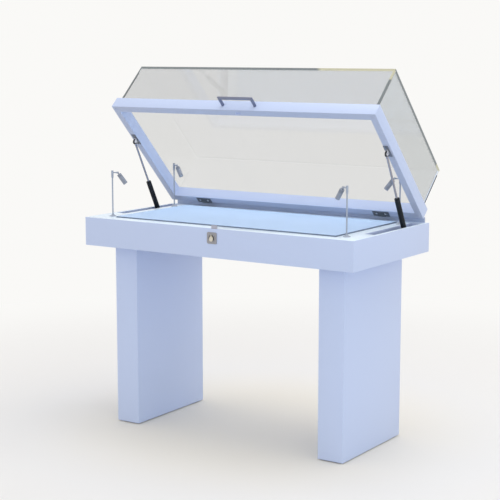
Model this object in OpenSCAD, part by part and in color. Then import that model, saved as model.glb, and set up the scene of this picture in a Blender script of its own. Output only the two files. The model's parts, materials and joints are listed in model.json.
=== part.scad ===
// Pedestal display case: a shallow tray on two panel legs, with a display deck,
// a glass hood in a hinged frame held open by two gas struts, four small swivel
// lamps, a pull handle and a hook lock. Millimetres, front towards -Y, drawn with
// the hood open. The origin is on the floor, below the middle of the whole form.

/* [Table] */
// Width of the table over its two ends
table_w = 1200; // [1000:1:1500]
// Depth of the table from front to back
table_d = 585; // [540:1:700]
// Height of the rim above the floor
table_h = 830; // [700:1:1000]
// Height of the tray on top of the legs
tray_h = 110; // [106:1:160]
// Thickness of the four apron boards round the tray
apron_t = 12; // [10:1:16]
// Thickness of the rim boards that cap the aprons
rim_t = 18; // [16:1:22]
// Thickness of the board that closes the tray from below
floor_t = 12; // [9:1:16]
// Height of the strip that stands on the back edge of the rim
upstand_h = 20; // [12:1:24]

/* [Deck] */
// Gap between a table end and the near edge of the deck
deck_end_margin = 106.5; // [100:0.5:115]
// Gap between the table front or back and the near edge of the deck
deck_front_margin = 61.5; // [58:0.5:70]
// Shadow gap all round the deck
deck_gap = 5; // [3:0.5:7]
// Thickness of the display deck
deck_t = 22; // [20:1:26]
// Width of the battens that carry the deck
ledge_w = 40; // [30:1:42]
// Height of the battens that carry the deck
ledge_h = 20; // [15:1:25]

/* [Legs] */
// Width of a leg seen from the front
leg_w = 105; // [80:1:140]
// Depth of a leg, front to back
leg_d = 440; // [360:1:460]
// Distance from a table end to the outer face of a leg
leg_end_inset = 81; // [40:1:120]
// Distance from the table front to the front face of a leg
leg_front_inset = 84; // [40:1:100]
// Thickness of the boards a leg is boxed from
leg_board_t = 16; // [12:1:20]
// Thickness of the solid blocks that close a leg at each end
leg_block_h = 40; // [30:1:60]
// Radius of a glide under a leg
glide_r = 15; // [10:1:20]
// Height of a glide
glide_h = 4; // [3:0.5:8]
// Distance from the outline of a leg to the centre of a glide or leg bolt
leg_bolt_inset = 34; // [30:1:40]

/* [Hood frame] */
// Distance from the table outline to the closed hood frame, all round
frame_inset = 9; // [6:0.5:14]
// Height of the frame rails
rail_h = 48; // [40:1:60]
// Width of the two side rails
side_rail_w = 28; // [26:1:34]
// Width of the front and rear rails
front_rail_w = 30; // [28:1:36]
// Gap between rim and closed frame
frame_gap = 3; // [3:0.1:5]
// Angle through which the hood opens
open_angle = 46; // [30:1:60]
// Thickness of the rubber buffers under the frame
buffer_t = 2.6; // [2:0.1:2.8]
// Radius of the rubber buffers
buffer_r = 5; // [4:0.5:6]

/* [Hood glass] */
// Thickness of the panes
glass_t = 6; // [5:0.5:8]
// Height of the glass above the rails
glass_h = 187; // [120:1:260]
// Distance from the end of the frame to the outer face of the side panes
glass_end_inset = 14; // [10:0.5:16]
// Distance from the front of the frame to the outer face of the front pane
glass_front_inset = 11; // [9:0.5:14]
// Wall of the soft channel that the panes stand in
seal_t = 2; // [1.5:0.1:2.5]
// Depth of the groove in the rails
groove_h = 8; // [6:0.5:12]

/* [Hinges] */
// Distance from a table end to the middle of a hinge
hinge_end_margin = 184; // [160:1:300]
// Distance from the rear face of the closed frame to the hinge axis
hinge_back = 5.5; // [5.5:0.1:7]
// Height of the hinge axis above the underside of the closed frame
hinge_up = 34; // [28:1:40]
// Radius of the hinge barrels
barrel_r = 5; // [4.5:0.1:5]
// Radius of the hinge pins
hinge_pin_r = 2.5; // [2:0.1:3]
// Width of the middle barrel
mid_barrel_w = 34; // [24:1:40]
// Width of each side barrel
side_barrel_w = 19.5; // [15:0.5:25]
// End play between neighbouring barrels
barrel_play = 0.5; // [0.3:0.1:1]
// Thickness of the fixed leaf on the back of the tray
case_leaf_t = 3; // [2.5:0.1:4]
// Reach of the fixed leaf below the rim
case_leaf_drop = 42; // [36:1:60]
// Width of the strap under the rear rail
strap_w = 70; // [60:1:100]
// Depth of the strap under the rear rail
strap_d = 25; // [22:1:28]
// Thickness of the strap
strap_t = 2.5; // [2:0.1:2.5]
// Distance between the two screws of a strap
strap_screw_pitch = 38; // [30:1:60]

/* [Gas struts] */
// Distance from the rear of the frame to the upper pivot
strut_reach = 377; // [330:1:400]
// Distance from the underside of the frame to the upper pivot
strut_drop = 14; // [12:0.5:15]
// Distance from the back of the table to the lower pivot
strut_low_back = 117.5; // [100:0.5:130]
// Height of the lower pivot above the tray floor
strut_low_up = 17; // [16:0.5:24]
// Radius of the pressure tube
tube_r = 10; // [8:0.5:10]
// Wall of the pressure tube
tube_wall = 1.5; // [1:0.1:2]
// Length of the strut from the lower pivot to the mouth of the tube
tube_len = 216; // [200:1:220]
// Radius of the piston rod
rod_r = 4; // [3:0.5:4.5]
// Length of the piston rod from the upper pivot to its end
rod_len = 245; // [240:1:250]
// Radius of the pivot pins
strut_pin_r = 3; // [2.5:0.1:3.5]
// Clearance from the pressure tube to the lower bracket
strut_clear = 2; // [1.5:0.1:3]
// Width of the slot in the rim that a strut drops into
slot_w = 42; // [34:1:42]
// Distance from the table front to the front end of the slot
slot_front = 177.5; // [170:0.5:185]
// Distance from the table back to the rear end of the slot
slot_back = 42.5; // [36:0.5:50]

/* [Handle] */
// Distance between the two feet of the handle
handle_span = 144; // [100:1:220]
// Radius of the round bar of the handle
handle_r = 6; // [5:0.5:7]
// Distance from the rail to the middle of the grip
handle_reach = 38; // [30:1:50]
// Radius of the handle screws
handle_screw_r = 2; // [1.5:0.1:2.5]
// Depth of the tapped hole in a handle foot
handle_tap = 14; // [10:1:20]

/* [Lock] */
// Distance of the lock from the middle of the case
lock_x = 7; // [-20:1:20]
// Depth of the lock axis below the rim top
lock_drop = 36; // [36:0.5:38]
// Side of the square escutcheon
plate_side = 43; // [38:1:50]
// Thickness of the escutcheon
plate_t = 3; // [2:0.1:4]
// Radius of the raised ring on the escutcheon
ring_r = 15; // [13:0.5:17]
// Height of the raised ring
ring_t = 2.5; // [1.5:0.1:4]
// Radius of the turning plug
plug_r = 8; // [7:0.5:9]
// Radius of the threaded lock barrel
lock_barrel_r = 11; // [10:0.5:12]
// Thickness of the key cover
cover_t = 2.5; // [1.5:0.1:3]
// Distance from the lock axis to the hook pivot
hook_pivot_x = 26; // [24:1:30]
// Inner radius of the curved hook
hook_r = 44; // [44:0.5:45]
// Radial width of the hook
hook_w = 5; // [4:0.5:5]
// Thickness of the hook
hook_t = 3; // [2.5:0.1:4]
// Turn of the hook from free to locked, for a quarter turn of the plug
hook_turn = 45; // [40:1:46]
// Width of the strike plate in the rim
strike_w = 26; // [24:1:34]
// Thickness of the strike plate
strike_t = 1.5; // [1:0.1:2]
// Height of the tab that stands on the front edge of the strike plate
strike_tab_h = 12; // [8:0.5:16]

/* [Lamps] */
// Distance from a table end to the lamp posts
lamp_end_margin = 73; // [72:0.5:76]
// Distance from the table front to the front posts
lamp_front_margin = 80.5; // [78:0.5:110]
// Distance from the table back to the rear posts
lamp_back_margin = 102.5; // [90:0.5:140]
// Height of a lamp above the rim
lamp_h = 180; // [120:1:185]
// Radius of a post
post_r = 2.75; // [2.5:0.05:3]
// Radius of the flared foot
lamp_foot_r = 14; // [10:0.5:14]
// Height of the flared foot
lamp_foot_h = 10; // [6:0.5:16]
// Radius of the swivel sleeve on top of a post
sleeve_r = 4.5; // [4:0.1:5]
// Length of the swivel sleeve
sleeve_h = 28; // [20:1:40]
// Length of the arm from the post to the tilt pin
arm_len = 22; // [18:1:28]
// Radius of a lamp head
head_r = 9; // [7:0.5:10]
// Length of a lamp head
head_len = 46; // [36:1:50]
// Downward tilt of the lamp heads
head_tilt = 53; // [50:1:60]
// Inward turn of the front lamp arms from the line across the case
front_arm_turn = 22; // [0:1:45]
// Inward turn of the rear lamp arms from the line across the case
rear_arm_turn = 20; // [0:1:45]

/* [Electrics] */
// Width of the lamp driver on the tray floor
driver_w = 160; // [100:1:220]
// Depth of the lamp driver
driver_d = 42; // [30:1:60]
// Height of the lamp driver
driver_h = 30; // [20:1:40]
// Distance from the table back to the middle of the driver
driver_back = 170; // [140:1:260]
// Distance from the table back to the cable gland
gland_back = 90; // [60:1:120]
// Radius of the threaded body of the gland
gland_r = 8; // [6:0.5:10]
// Radius of the bore that the lamp cable enters by
gland_bore_r = 4; // [3:0.5:5]

/* [Fits] */
// Radial clearance of every pin and shaft in its bore
fit = 0.05; // [0.03:0.01:0.1]
// Gap between flat faces that slide past each other
slide_gap = 0.3; // [0.2:0.05:0.5]

/* [Hidden] */
$fn = 48;

// Colours of the finishes
lacquer = [0.76, 0.82, 0.95];
clear_glass = [0.80, 0.86, 0.86, 0.35];
soft_grey = [0.78, 0.80, 0.84];
dark_steel = [0.22, 0.22, 0.25];
bright_steel = [0.74, 0.75, 0.80];
black_tube = [0.10, 0.10, 0.11];
nickel = [0.66, 0.63, 0.58];
white_metal = [0.86, 0.88, 0.94];
zinc = [0.60, 0.62, 0.66];

// Overshoot of a cut past the face that it opens, and of a boss into its neighbour
over = 1;

// Table outline and levels
half_w = table_w / 2;
half_d = table_d / 2;
tray_bottom_z = table_h - tray_h;
tray_floor_z = tray_bottom_z + floor_t;
rim_bottom_z = table_h - rim_t;

// Deck and the opening that it lies in
deck_half_w = half_w - deck_end_margin;
deck_half_d = half_d - deck_front_margin;
opening_half_w = deck_half_w + deck_gap;
opening_half_d = deck_half_d + deck_gap;
ledge_half_w = opening_half_w + ledge_w / 2;
ledge_half_d = opening_half_d + ledge_w / 2;
ledge_mid_z = rim_bottom_z - ledge_h / 2;

// Legs
leg_x = half_w - leg_end_inset - leg_w / 2;
leg_y = -half_d + leg_front_inset + leg_d / 2;
leg_h = tray_bottom_z - glide_h;
leg_mid_z = glide_h + leg_h / 2;
leg_inner_w = leg_w - 2 * leg_board_t;
leg_inner_d = leg_d - 2 * leg_board_t;
leg_bolt_x = leg_w / 2 - leg_bolt_inset;
leg_bolt_y = leg_d / 2 - leg_bolt_inset;
leg_bolt_r = 4;
leg_bolt_len = 40;
bolt_head_r = 6.5;
bolt_head_h = 5;
bolt_socket_r = 3;
glide_chamfer = 1;
glide_pin_r = 2.5;
glide_pin_h = 12;

// Hood frame, closed
frame_half_w = half_w - frame_inset;
frame_half_d = half_d - frame_inset;
frame_z = table_h + frame_gap;
rail_top_z = frame_z + rail_h;
upstand_clear = 1;
upstand_front = frame_half_d + strap_t + upstand_clear;
upstand_half_w = frame_half_w - 8;
glass_half_w = frame_half_w - glass_end_inset;
glass_half_d = frame_half_d - glass_front_inset;
groove_z = rail_top_z - groove_h;
pane_bottom_z = groove_z + seal_t;
glass_top_z = rail_top_z + glass_h;

// Hinges
hinge_x = half_w - hinge_end_margin;
hinge_y = frame_half_d + hinge_back;
hinge_z = frame_z + hinge_up;
hinge_w = mid_barrel_w + 2 * barrel_play + 2 * side_barrel_w;
notch_half = mid_barrel_w / 2 + barrel_play;
notch_margin = 2;
notch_depth = barrel_r + notch_margin;
leaf_screw_inset = 8;
leaf_screw_x = hinge_w / 2 - leaf_screw_inset;
apron_screw_drop = 14;
leaf_screw_drops = [rim_t / 2, rim_t + apron_screw_drop];
strap_screw_share = 0.56;
strap_screw_y = frame_half_d - strap_d * strap_screw_share;
hinge_pin_end = hinge_w / 2 + slide_gap;
pin_head_r = 3.6;
pin_head_t = 1.5;

// Countersunk wood screws, shared by the hinges and the strut brackets
screw_r = 2;
screw_head_r = 4;
screw_head_h = 2;
screw_len = 14;
bracket_screw_len = 11;

// Struts: both pivots in the plane across the case, hood open and hood closed
strut_bracket_t = 3;
strut_x = half_w - apron_t - strut_bracket_t - strut_clear - tube_r;
slot_lip = 2;
slot_x = half_w - apron_t - slot_lip;
upper_closed = [frame_half_d - strut_reach, frame_z - strut_drop];
upper_open = [
    hinge_y + (upper_closed[0] - hinge_y) * cos(open_angle)
        + (upper_closed[1] - hinge_z) * sin(open_angle),
    hinge_z - (upper_closed[0] - hinge_y) * sin(open_angle)
        + (upper_closed[1] - hinge_z) * cos(open_angle)];
lower_pivot = [half_d - strut_low_back, tray_floor_z + strut_low_up];
strut_open_run = lower_pivot - upper_open;
strut_closed_run = lower_pivot - upper_closed;
strut_open_len = norm(strut_open_run);
strut_closed_len = norm(strut_closed_run);
strut_open_slope = atan2(strut_open_run[1], strut_open_run[0]);
strut_closed_slope = atan2(strut_closed_run[1], strut_closed_run[0]);
eye_r = 6;
rod_eye_t = 5;
rod_neck_r = 2.4;
rod_collar_r = 5;
rod_collar_start = 8;
rod_collar_end = 16;
rod_piston_r = tube_r - tube_wall - slide_gap;
tube_eye_r = 7;
tube_eye_t = 10;
ear_t = 2;
ear_x = rod_eye_t / 2 + slide_gap;
strut_pin_len = rod_eye_t + 2 * slide_gap + 2 * ear_t;
clip_r = 4;
clip_t = 1;
base_plate_w = 20;
base_plate_d = 56;
base_plate_t = 2;
base_screw_pitch = 44;
tube_plug_h = 14;
tube_cap_h = 22;
tube_neck_r = 4.4;
guide_h = 12;
piston_h = 8;
lower_plate_d = 44;
lower_plate_h = 24;
lower_screw_pitch = 32;
stud_start_x = strut_x + tube_eye_t / 2 + slide_gap;

// Handle: tight bends and wide screw heads
handle_bend_r = handle_r + 1.5;
handle_bend_x = handle_span / 2 - handle_bend_r;
handle_head_r = 4;
handle_head_h = 3;
handle_tap_end = 2;

// Lock, seen from the front: x to the right and z up
lock_z = table_h - lock_drop;
lock_case_t = 2;
lock_back_y = -half_d + apron_t;
plug_tail_len = 10.5;
plug_tail_y = lock_back_y + plug_tail_len;
lock_barrel_y = plug_tail_y - 2;
lock_flange_r = lock_barrel_r + 4;
plate_corner_r = 6;
hook_gap = 2;
hook_y = plug_tail_y + hook_gap;
hook_x = lock_x - hook_pivot_x;
hook_hub_r = 6;
hook_plate_r = 8;
hook_stud_r = 3;
hook_sweep = 56;
hook_locked_tip = 68;
hook_tip = hook_locked_tip - hook_turn;
hook_clear = 1;
hook_out_r = hook_r + hook_w;
drop_low = -4;
drop_r = 8.5;
drop_point = 15;
keyway_half = 1;
keyway_low = 8;
keyway_up = 3;
keyway_depth = 1.2;
strike_slot_front = hook_y - hook_clear;
strike_slot_w = hook_t + 2 * hook_clear;
strike_under = lock_drop - strike_t;
rim_under = lock_drop - rim_t;
slot_near_x = hook_x + sqrt(hook_r * hook_r - lock_drop * lock_drop) - hook_clear;
strike_margin = 2;
strike_tab_t = 2;
strike_x = slot_near_x - strike_margin;
slot_far_x = hook_x + sqrt(hook_out_r * hook_out_r - strike_under * strike_under) + hook_clear;
pocket_far_x = hook_x + sqrt(hook_out_r * hook_out_r - rim_under * rim_under) + hook_clear;
rail_pocket_h = hook_out_r - lock_drop - frame_gap + hook_clear;
rail_pocket_near_x = hook_x + hook_r * cos(hook_tip + hook_turn) - 2 * hook_clear;
ring_front_y = -half_d - plate_t - ring_t;
lock_front_y = ring_front_y - cover_t;

// Lamps
lamp_x = half_w - lamp_end_margin;
lamp_front_y = -half_d + lamp_front_margin;
lamp_back_y = half_d - lamp_back_margin;
lamp_top_z = table_h + lamp_h;
arm_drop = 8;
arm_z = lamp_top_z - arm_drop;
arm_r = 2.5;
sleeve_cap = 3;
post_end_z = lamp_top_z - sleeve_cap;
post_bore_r = 1.5;
post_bore_cap = 20;
post_tail = 2;
lamp_nut_r = 6;
lamp_nut_h = 5;
post_start_z = rim_bottom_z - lamp_nut_h - post_tail;
foot_edge_h = 1.5;
foot_bowl_r = 8.7;
foot_bowl_h = 3;
foot_neck_r = 5.25;
foot_neck_share = 0.6;
foot_top_r = 4.15;
knuckle_r = 4;
knuckle_gap = 1.6;
knuckle_ear_t = 1.6;
knuckle_ear_y = knuckle_gap / 2 + slide_gap;
knuckle_tail = 3;
tilt_pin_r = 1;
tongue_r = 3.5;
head_start = 7;
head_shoulder = 2;
head_wall = 1.6;
head_taper = 1;
head_cup = 8;

// Rear top edge of the open glass and front of the lock bound the case in depth
glass_back_y = hinge_y + (glass_half_d - hinge_y) * cos(open_angle)
    + (glass_top_z - hinge_z) * sin(open_angle);
mid_y = (lock_front_y + glass_back_y) / 2;

// Electrics in the tray
driver_lug = 12;
driver_lug_t = 3;
driver_hole_r = 2;
gland_flange_r = gland_r + 4;
gland_flange_h = 4;
gland_cap_h = 8;
gland_cap_taper = 1;
gland_rise = 9;

// A block between two opposite corners
module slab(low, high) translate(low) cube(high - low);

// Case coordinates, with y = 0 midway through the table, to the part's own
module in_case() translate([0, -mid_y, 0]) children();

// Pieces drawn on the closed hood, turned to the open hood
module on_hood() in_case() translate([0, hinge_y, hinge_z])
    rotate([-open_angle, 0, 0]) translate([0, -hinge_y, -hinge_z]) children();

module both_ends() {
    children();
    mirror([1, 0, 0]) children();
}

module across_x(r, length) rotate([0, 90, 0]) cylinder(r = r, h = length, center = true);

// A screw with a countersunk head, its head flush with z = 0 and its point down
module screw_shape(length, gap = 0) rotate_extrude() polygon([
    [0, 0], [screw_head_r + gap, 0], [screw_r + gap, -screw_head_h],
    [screw_r + gap, -length - gap], [0, -length - gap]]);

module rounded_square(side, r) {
    square([side - 2 * r, side], center = true);
    square([side, side - 2 * r], center = true);
    for (sx = [-1, 1], sy = [-1, 1])
        translate([sx * (side / 2 - r), sy * (side / 2 - r)]) circle(r);
}

// --- Tray -----------------------------------------------------------------

module long_apron() slab([-half_w, -half_d, tray_bottom_z],
    [half_w, -half_d + apron_t, rim_bottom_z]);

module front_apron() color(lacquer) in_case() difference() {
    long_apron();
    translate([lock_x, -half_d + apron_t / 2, lock_z]) rotate([90, 0, 0])
        cylinder(r = lock_barrel_r + fit, h = apron_t + 2 * over, center = true);
}

module rear_apron() color(lacquer) in_case() difference() {
    mirror([0, 1, 0]) long_apron();
    case_leaf_screws(fit);
}

module end_apron() color(lacquer) in_case() difference() {
    slab([half_w - apron_t, -half_d + apron_t, tray_bottom_z],
        [half_w, half_d - apron_t, rim_bottom_z]);
    lower_bracket_screws(fit);
}

module long_rim() slab([-opening_half_w, -half_d, rim_bottom_z],
    [opening_half_w, -opening_half_d, table_h]);

module front_rim() color(lacquer) in_case() difference() {
    long_rim();
    slab([strike_x, -half_d - over, table_h - strike_t],
        [strike_x + strike_w, -opening_half_d + over, table_h + over]);
    slab([slot_near_x, strike_slot_front, rim_bottom_z - over],
        [pocket_far_x, strike_slot_front + strike_slot_w, table_h]);
}

module rear_rim() color(lacquer) in_case() difference() {
    mirror([0, 1, 0]) long_rim();
    case_leaf_screws(fit);
}

// Closes the gap behind the hood frame, clear of the hinge webs
module rear_upstand() color(lacquer) in_case() slab(
    [-upstand_half_w, upstand_front, table_h],
    [upstand_half_w, half_d, table_h + upstand_h]);

module end_rim() color(lacquer) in_case() difference() {
    slab([opening_half_w, -half_d, rim_bottom_z], [half_w, half_d, table_h]);
    slab([slot_x - slot_w, -half_d + slot_front, rim_bottom_z - over],
        [slot_x, half_d - slot_back, table_h + over]);
    for (y = [lamp_front_y, lamp_back_y]) translate([lamp_x, y, rim_bottom_z - over])
        cylinder(r = post_r + fit, h = rim_t + 2 * over);
}

// Places of the eight leg bolts, on the level of the tray's underside
module at_leg_bolts() for (sx = [-1, 1], bx = [-1, 1], by = [-1, 1])
    translate([sx * leg_x + bx * leg_bolt_x, leg_y + by * leg_bolt_y, 0]) children();

module tray_floor() color(lacquer) in_case() difference() {
    slab([-half_w + apron_t, -half_d + apron_t, tray_bottom_z],
        [half_w - apron_t, half_d - apron_t, tray_floor_z]);
    at_leg_bolts() translate([0, 0, tray_bottom_z - over])
        cylinder(r = leg_bolt_r + fit, h = floor_t + 2 * over);
    translate([0, half_d - gland_back, tray_bottom_z - over])
        cylinder(r = gland_r + fit, h = floor_t + 2 * over);
}

module deck_ledges() color(lacquer) in_case() for (s = [-1, 1]) {
    translate([0, s * (ledge_half_d - ledge_w / 2), ledge_mid_z])
        cube([2 * ledge_half_w, ledge_w, ledge_h], center = true);
    translate([s * (ledge_half_w - ledge_w / 2), 0, ledge_mid_z])
        cube([ledge_w, 2 * (ledge_half_d - ledge_w - slide_gap), ledge_h], center = true);
}

module display_deck() color(lacquer) in_case() slab(
    [-deck_half_w, -deck_half_d, rim_bottom_z],
    [deck_half_w, deck_half_d, rim_bottom_z + deck_t]);

// --- Legs: each a box of four boards with a block at each end -------------

module in_leg(sx) translate([sx * leg_x, leg_y, 0]) children();

module leg_side_boards() color(lacquer) in_case() for (sx = [-1, 1], side = [-1, 1])
    in_leg(sx) translate([side * (leg_w - leg_board_t) / 2, 0, leg_mid_z])
        cube([leg_board_t, leg_d, leg_h], center = true);

module leg_end_boards() color(lacquer) in_case() for (sx = [-1, 1], end = [-1, 1])
    in_leg(sx) translate([0, end * (leg_d - leg_board_t) / 2, leg_mid_z])
        cube([leg_inner_w, leg_board_t, leg_h], center = true);

module leg_blocks() color("burlywood") in_case() difference() {
    for (sx = [-1, 1], z = [glide_h, tray_bottom_z - leg_block_h])
        in_leg(sx) translate([-leg_inner_w / 2, -leg_inner_d / 2, z])
            cube([leg_inner_w, leg_inner_d, leg_block_h]);
    at_leg_bolts() leg_bolt(fit);
    at_leg_bolts() translate([0, 0, glide_h])
        cylinder(r = glide_pin_r + fit, h = glide_pin_h + fit);
}

module leg_bolt(gap = 0) {
    translate([0, 0, tray_floor_z - leg_bolt_len - gap])
        cylinder(r = leg_bolt_r + gap, h = leg_bolt_len + gap);
    translate([0, 0, tray_floor_z]) cylinder(r = bolt_head_r, h = bolt_head_h);
}

module leg_bolts() color(zinc) in_case() at_leg_bolts() difference() {
    leg_bolt();
    translate([0, 0, tray_floor_z + bolt_head_h / 2])
        cylinder(r = bolt_socket_r, h = bolt_head_h, $fn = 6);
}

module glides() color(dark_steel) in_case() at_leg_bolts() {
    rotate_extrude() polygon([[0, 0], [glide_r - glide_chamfer, 0], [glide_r, glide_chamfer],
        [glide_r, glide_h], [0, glide_h]]);
    translate([0, 0, glide_h / 2]) cylinder(r = glide_pin_r, h = glide_h / 2 + glide_pin_h);
}

// --- Hinges ---------------------------------------------------------------

// Screws of the fixed leaves, heads on the leaf's outer face
module case_leaf_screws(gap = 0) for (sx = [-1, 1], x = [-1, 1], drop = leaf_screw_drops)
    translate([sx * hinge_x + x * leaf_screw_x, half_d + case_leaf_t, table_h - drop])
        rotate([-90, 0, 0]) screw_shape(screw_len, gap);

module case_leaf() difference() {
    union() {
        slab([-hinge_w / 2, half_d, table_h - case_leaf_drop],
            [hinge_w / 2, half_d + case_leaf_t, hinge_z]);
        translate([0, hinge_y, hinge_z]) across_x(barrel_r, hinge_w);
    }
    slab([-notch_half, hinge_y - notch_depth, hinge_z - notch_depth],
        [notch_half, half_d + case_leaf_t + over, hinge_z + notch_depth]);
    translate([0, hinge_y, hinge_z]) across_x(hinge_pin_r + fit, hinge_w + 2 * over);
}

module hinge_case_leaves() color(bright_steel) in_case() difference() {
    for (sx = [-1, 1]) translate([sx * hinge_x, 0, 0]) case_leaf();
    case_leaf_screws(fit);
}

module hinge_pins() color(bright_steel) in_case() for (sx = [-1, 1])
    translate([sx * hinge_x, hinge_y, hinge_z]) {
        across_x(hinge_pin_r, 2 * hinge_pin_end);
        for (end = [-1, 1]) translate([end * (hinge_pin_end + pin_head_t / 2), 0, 0])
            across_x(pin_head_r, pin_head_t);
    }

module strap_screws(gap = 0) for (sx = [-1, 1], x = [-1, 1])
    translate([sx * hinge_x + x * strap_screw_pitch / 2, strap_screw_y, frame_z - strap_t])
        rotate([180, 0, 0]) screw_shape(screw_len, gap);

module lid_leaf() difference() {
    union() {
        slab([-strap_w / 2, frame_half_d - strap_d, frame_z - strap_t],
            [strap_w / 2, frame_half_d, frame_z]);
        slab([-mid_barrel_w / 2, frame_half_d - strap_d / 2, frame_z - strap_t],
            [mid_barrel_w / 2, frame_half_d + strap_t, frame_z]);
        slab([-mid_barrel_w / 2, frame_half_d, frame_z - strap_t],
            [mid_barrel_w / 2, frame_half_d + strap_t, hinge_z]);
        translate([0, hinge_y, hinge_z]) across_x(barrel_r, mid_barrel_w);
    }
    translate([0, hinge_y, hinge_z]) across_x(hinge_pin_r + fit, mid_barrel_w + 2 * over);
}

module hinge_lid_leaves() color(dark_steel) on_hood() difference() {
    for (sx = [-1, 1]) translate([sx * hinge_x, 0, 0]) lid_leaf();
    strap_screws(fit);
}

// --- Gas struts -----------------------------------------------------------

module lower_bracket_screws(gap = 0) for (y = [-1, 1])
    translate([half_w - apron_t - strut_bracket_t, lower_pivot[0] + y * lower_screw_pitch / 2,
        lower_pivot[1]]) rotate([0, -90, 0]) screw_shape(bracket_screw_len, gap);

module lower_bracket() {
    difference() {
        translate([half_w - apron_t - strut_bracket_t, lower_pivot[0] - lower_plate_d / 2,
            lower_pivot[1] - lower_plate_h / 2])
            cube([strut_bracket_t, lower_plate_d, lower_plate_h]);
        lower_bracket_screws(fit);
    }
    translate([stud_start_x, lower_pivot[0], lower_pivot[1]]) rotate([0, 90, 0])
        cylinder(r = strut_pin_r, h = half_w - apron_t - strut_bracket_t / 2 - stud_start_x);
}

module strut_lower_brackets() color(bright_steel) in_case() both_ends() lower_bracket();

module case_screws() color(zinc) in_case() {
    case_leaf_screws();
    both_ends() lower_bracket_screws();
}

module upper_bracket_screws(gap = 0) for (y = [-1, 1])
    translate([strut_x, upper_closed[0] + y * base_screw_pitch / 2, frame_z - base_plate_t])
        rotate([180, 0, 0]) screw_shape(screw_len, gap);

module upper_bracket() difference() {
    union() {
        translate([strut_x - base_plate_w / 2, upper_closed[0] - base_plate_d / 2,
            frame_z - base_plate_t]) cube([base_plate_w, base_plate_d, base_plate_t]);
        for (s = [0, 1]) translate([strut_x, upper_closed[0], upper_closed[1]])
            mirror([s, 0, 0]) translate([ear_x, 0, 0]) {
                rotate([0, 90, 0]) cylinder(r = eye_r, h = ear_t);
                translate([0, -eye_r, 0]) cube([ear_t, 2 * eye_r, strut_drop - base_plate_t / 2]);
            }
    }
    translate([strut_x, upper_closed[0], upper_closed[1]])
        across_x(strut_pin_r + fit, rod_eye_t + 4 * ear_t);
    upper_bracket_screws(fit);
}

module strut_upper_brackets() color(bright_steel) on_hood() both_ends() upper_bracket();

module strut_pins() color(bright_steel) on_hood() both_ends()
    translate([strut_x, upper_closed[0], upper_closed[1]]) {
        across_x(strut_pin_r, strut_pin_len + 2 * slide_gap);
        for (s = [-1, 1]) translate([s * (strut_pin_len / 2 + slide_gap + clip_t / 2), 0, 0])
            across_x(clip_r, clip_t);
    }

// Strut pieces are drawn with the upper pivot at the origin and the strut along +Y
module on_strut(sx) in_case() translate([sx * strut_x, upper_open[0], upper_open[1]])
    rotate([strut_open_slope, 0, 0]) children();

module along_y(r, from, to) translate([0, from, 0]) rotate([-90, 0, 0])
    cylinder(r = r, h = to - from);

module strut_rod(sx) color(zinc) on_strut(sx) difference() {
    union() {
        across_x(eye_r, rod_eye_t);
        along_y(rod_neck_r, 0, rod_collar_end);
        along_y(rod_collar_r, rod_collar_start, rod_collar_end);
        along_y(rod_r, rod_collar_end - over, rod_len);
        along_y(rod_piston_r, rod_len - piston_h, rod_len);
    }
    across_x(strut_pin_r + fit, rod_eye_t + 2 * over);
}

module strut_tube(sx) color(black_tube) on_strut(sx) {
    foot = strut_open_len;
    mouth = foot - tube_len;
    difference() {
        union() {
            along_y(tube_r, mouth, foot - tube_plug_h);
            along_y(tube_neck_r, foot - tube_plug_h - over, foot);
            translate([0, foot, 0]) across_x(tube_eye_r, tube_eye_t);
        }
        along_y(rod_r + fit, mouth - over, mouth + guide_h + over);
        along_y(tube_r - tube_wall, mouth + guide_h, foot - tube_cap_h);
        translate([0, foot, 0]) across_x(strut_pin_r + fit, tube_eye_t + 2 * over);
    }
}

// --- Hood frame -----------------------------------------------------------

// The two outlines, seen from above, between which a ring stands
module ring_between(out_w, out_d, in_w, in_d, low_z, high_z) difference() {
    slab([-out_w, -out_d, low_z], [out_w, out_d, high_z]);
    slab([-in_w, -in_d, low_z - over], [in_w, in_d, high_z + over]);
}

module glazing_groove() ring_between(glass_half_w + seal_t, glass_half_d + seal_t,
    glass_half_w - glass_t - seal_t, glass_half_d - glass_t - seal_t, groove_z, rail_top_z + over);

module mitred_front_rail() translate([0, 0, frame_z]) linear_extrude(rail_h) polygon([
    [-frame_half_w, -frame_half_d], [frame_half_w, -frame_half_d],
    [frame_half_w - side_rail_w, -frame_half_d + front_rail_w],
    [-frame_half_w + side_rail_w, -frame_half_d + front_rail_w]]);

module frame_front_rail() color(lacquer) on_hood() difference() {
    mitred_front_rail();
    glazing_groove();
    slab([rail_pocket_near_x, strike_slot_front, frame_z - over],
        [slot_far_x, strike_slot_front + strike_slot_w, frame_z + rail_pocket_h]);
    handle_screw_set(fit);
}

module frame_rear_rail() color(lacquer) on_hood() difference() {
    mirror([0, 1, 0]) mitred_front_rail();
    glazing_groove();
    strap_screws(fit);
}

module frame_side_rail() color(lacquer) on_hood() difference() {
    translate([0, 0, frame_z]) linear_extrude(rail_h) polygon([
        [frame_half_w, -frame_half_d], [frame_half_w, frame_half_d],
        [frame_half_w - side_rail_w, frame_half_d - front_rail_w],
        [frame_half_w - side_rail_w, -frame_half_d + front_rail_w]]);
    glazing_groove();
    upper_bracket_screws(fit);
}

module glazing_channel() color(soft_grey) on_hood() difference() {
    ring_between(glass_half_w + seal_t, glass_half_d + seal_t,
        glass_half_w - glass_t - seal_t, glass_half_d - glass_t - seal_t, groove_z, rail_top_z);
    ring_between(glass_half_w, glass_half_d,
        glass_half_w - glass_t, glass_half_d - glass_t, pane_bottom_z, rail_top_z + over);
}

module glass_top() color(clear_glass) on_hood() slab(
    [-glass_half_w, -glass_half_d, glass_top_z - glass_t],
    [glass_half_w, glass_half_d, glass_top_z]);

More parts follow.
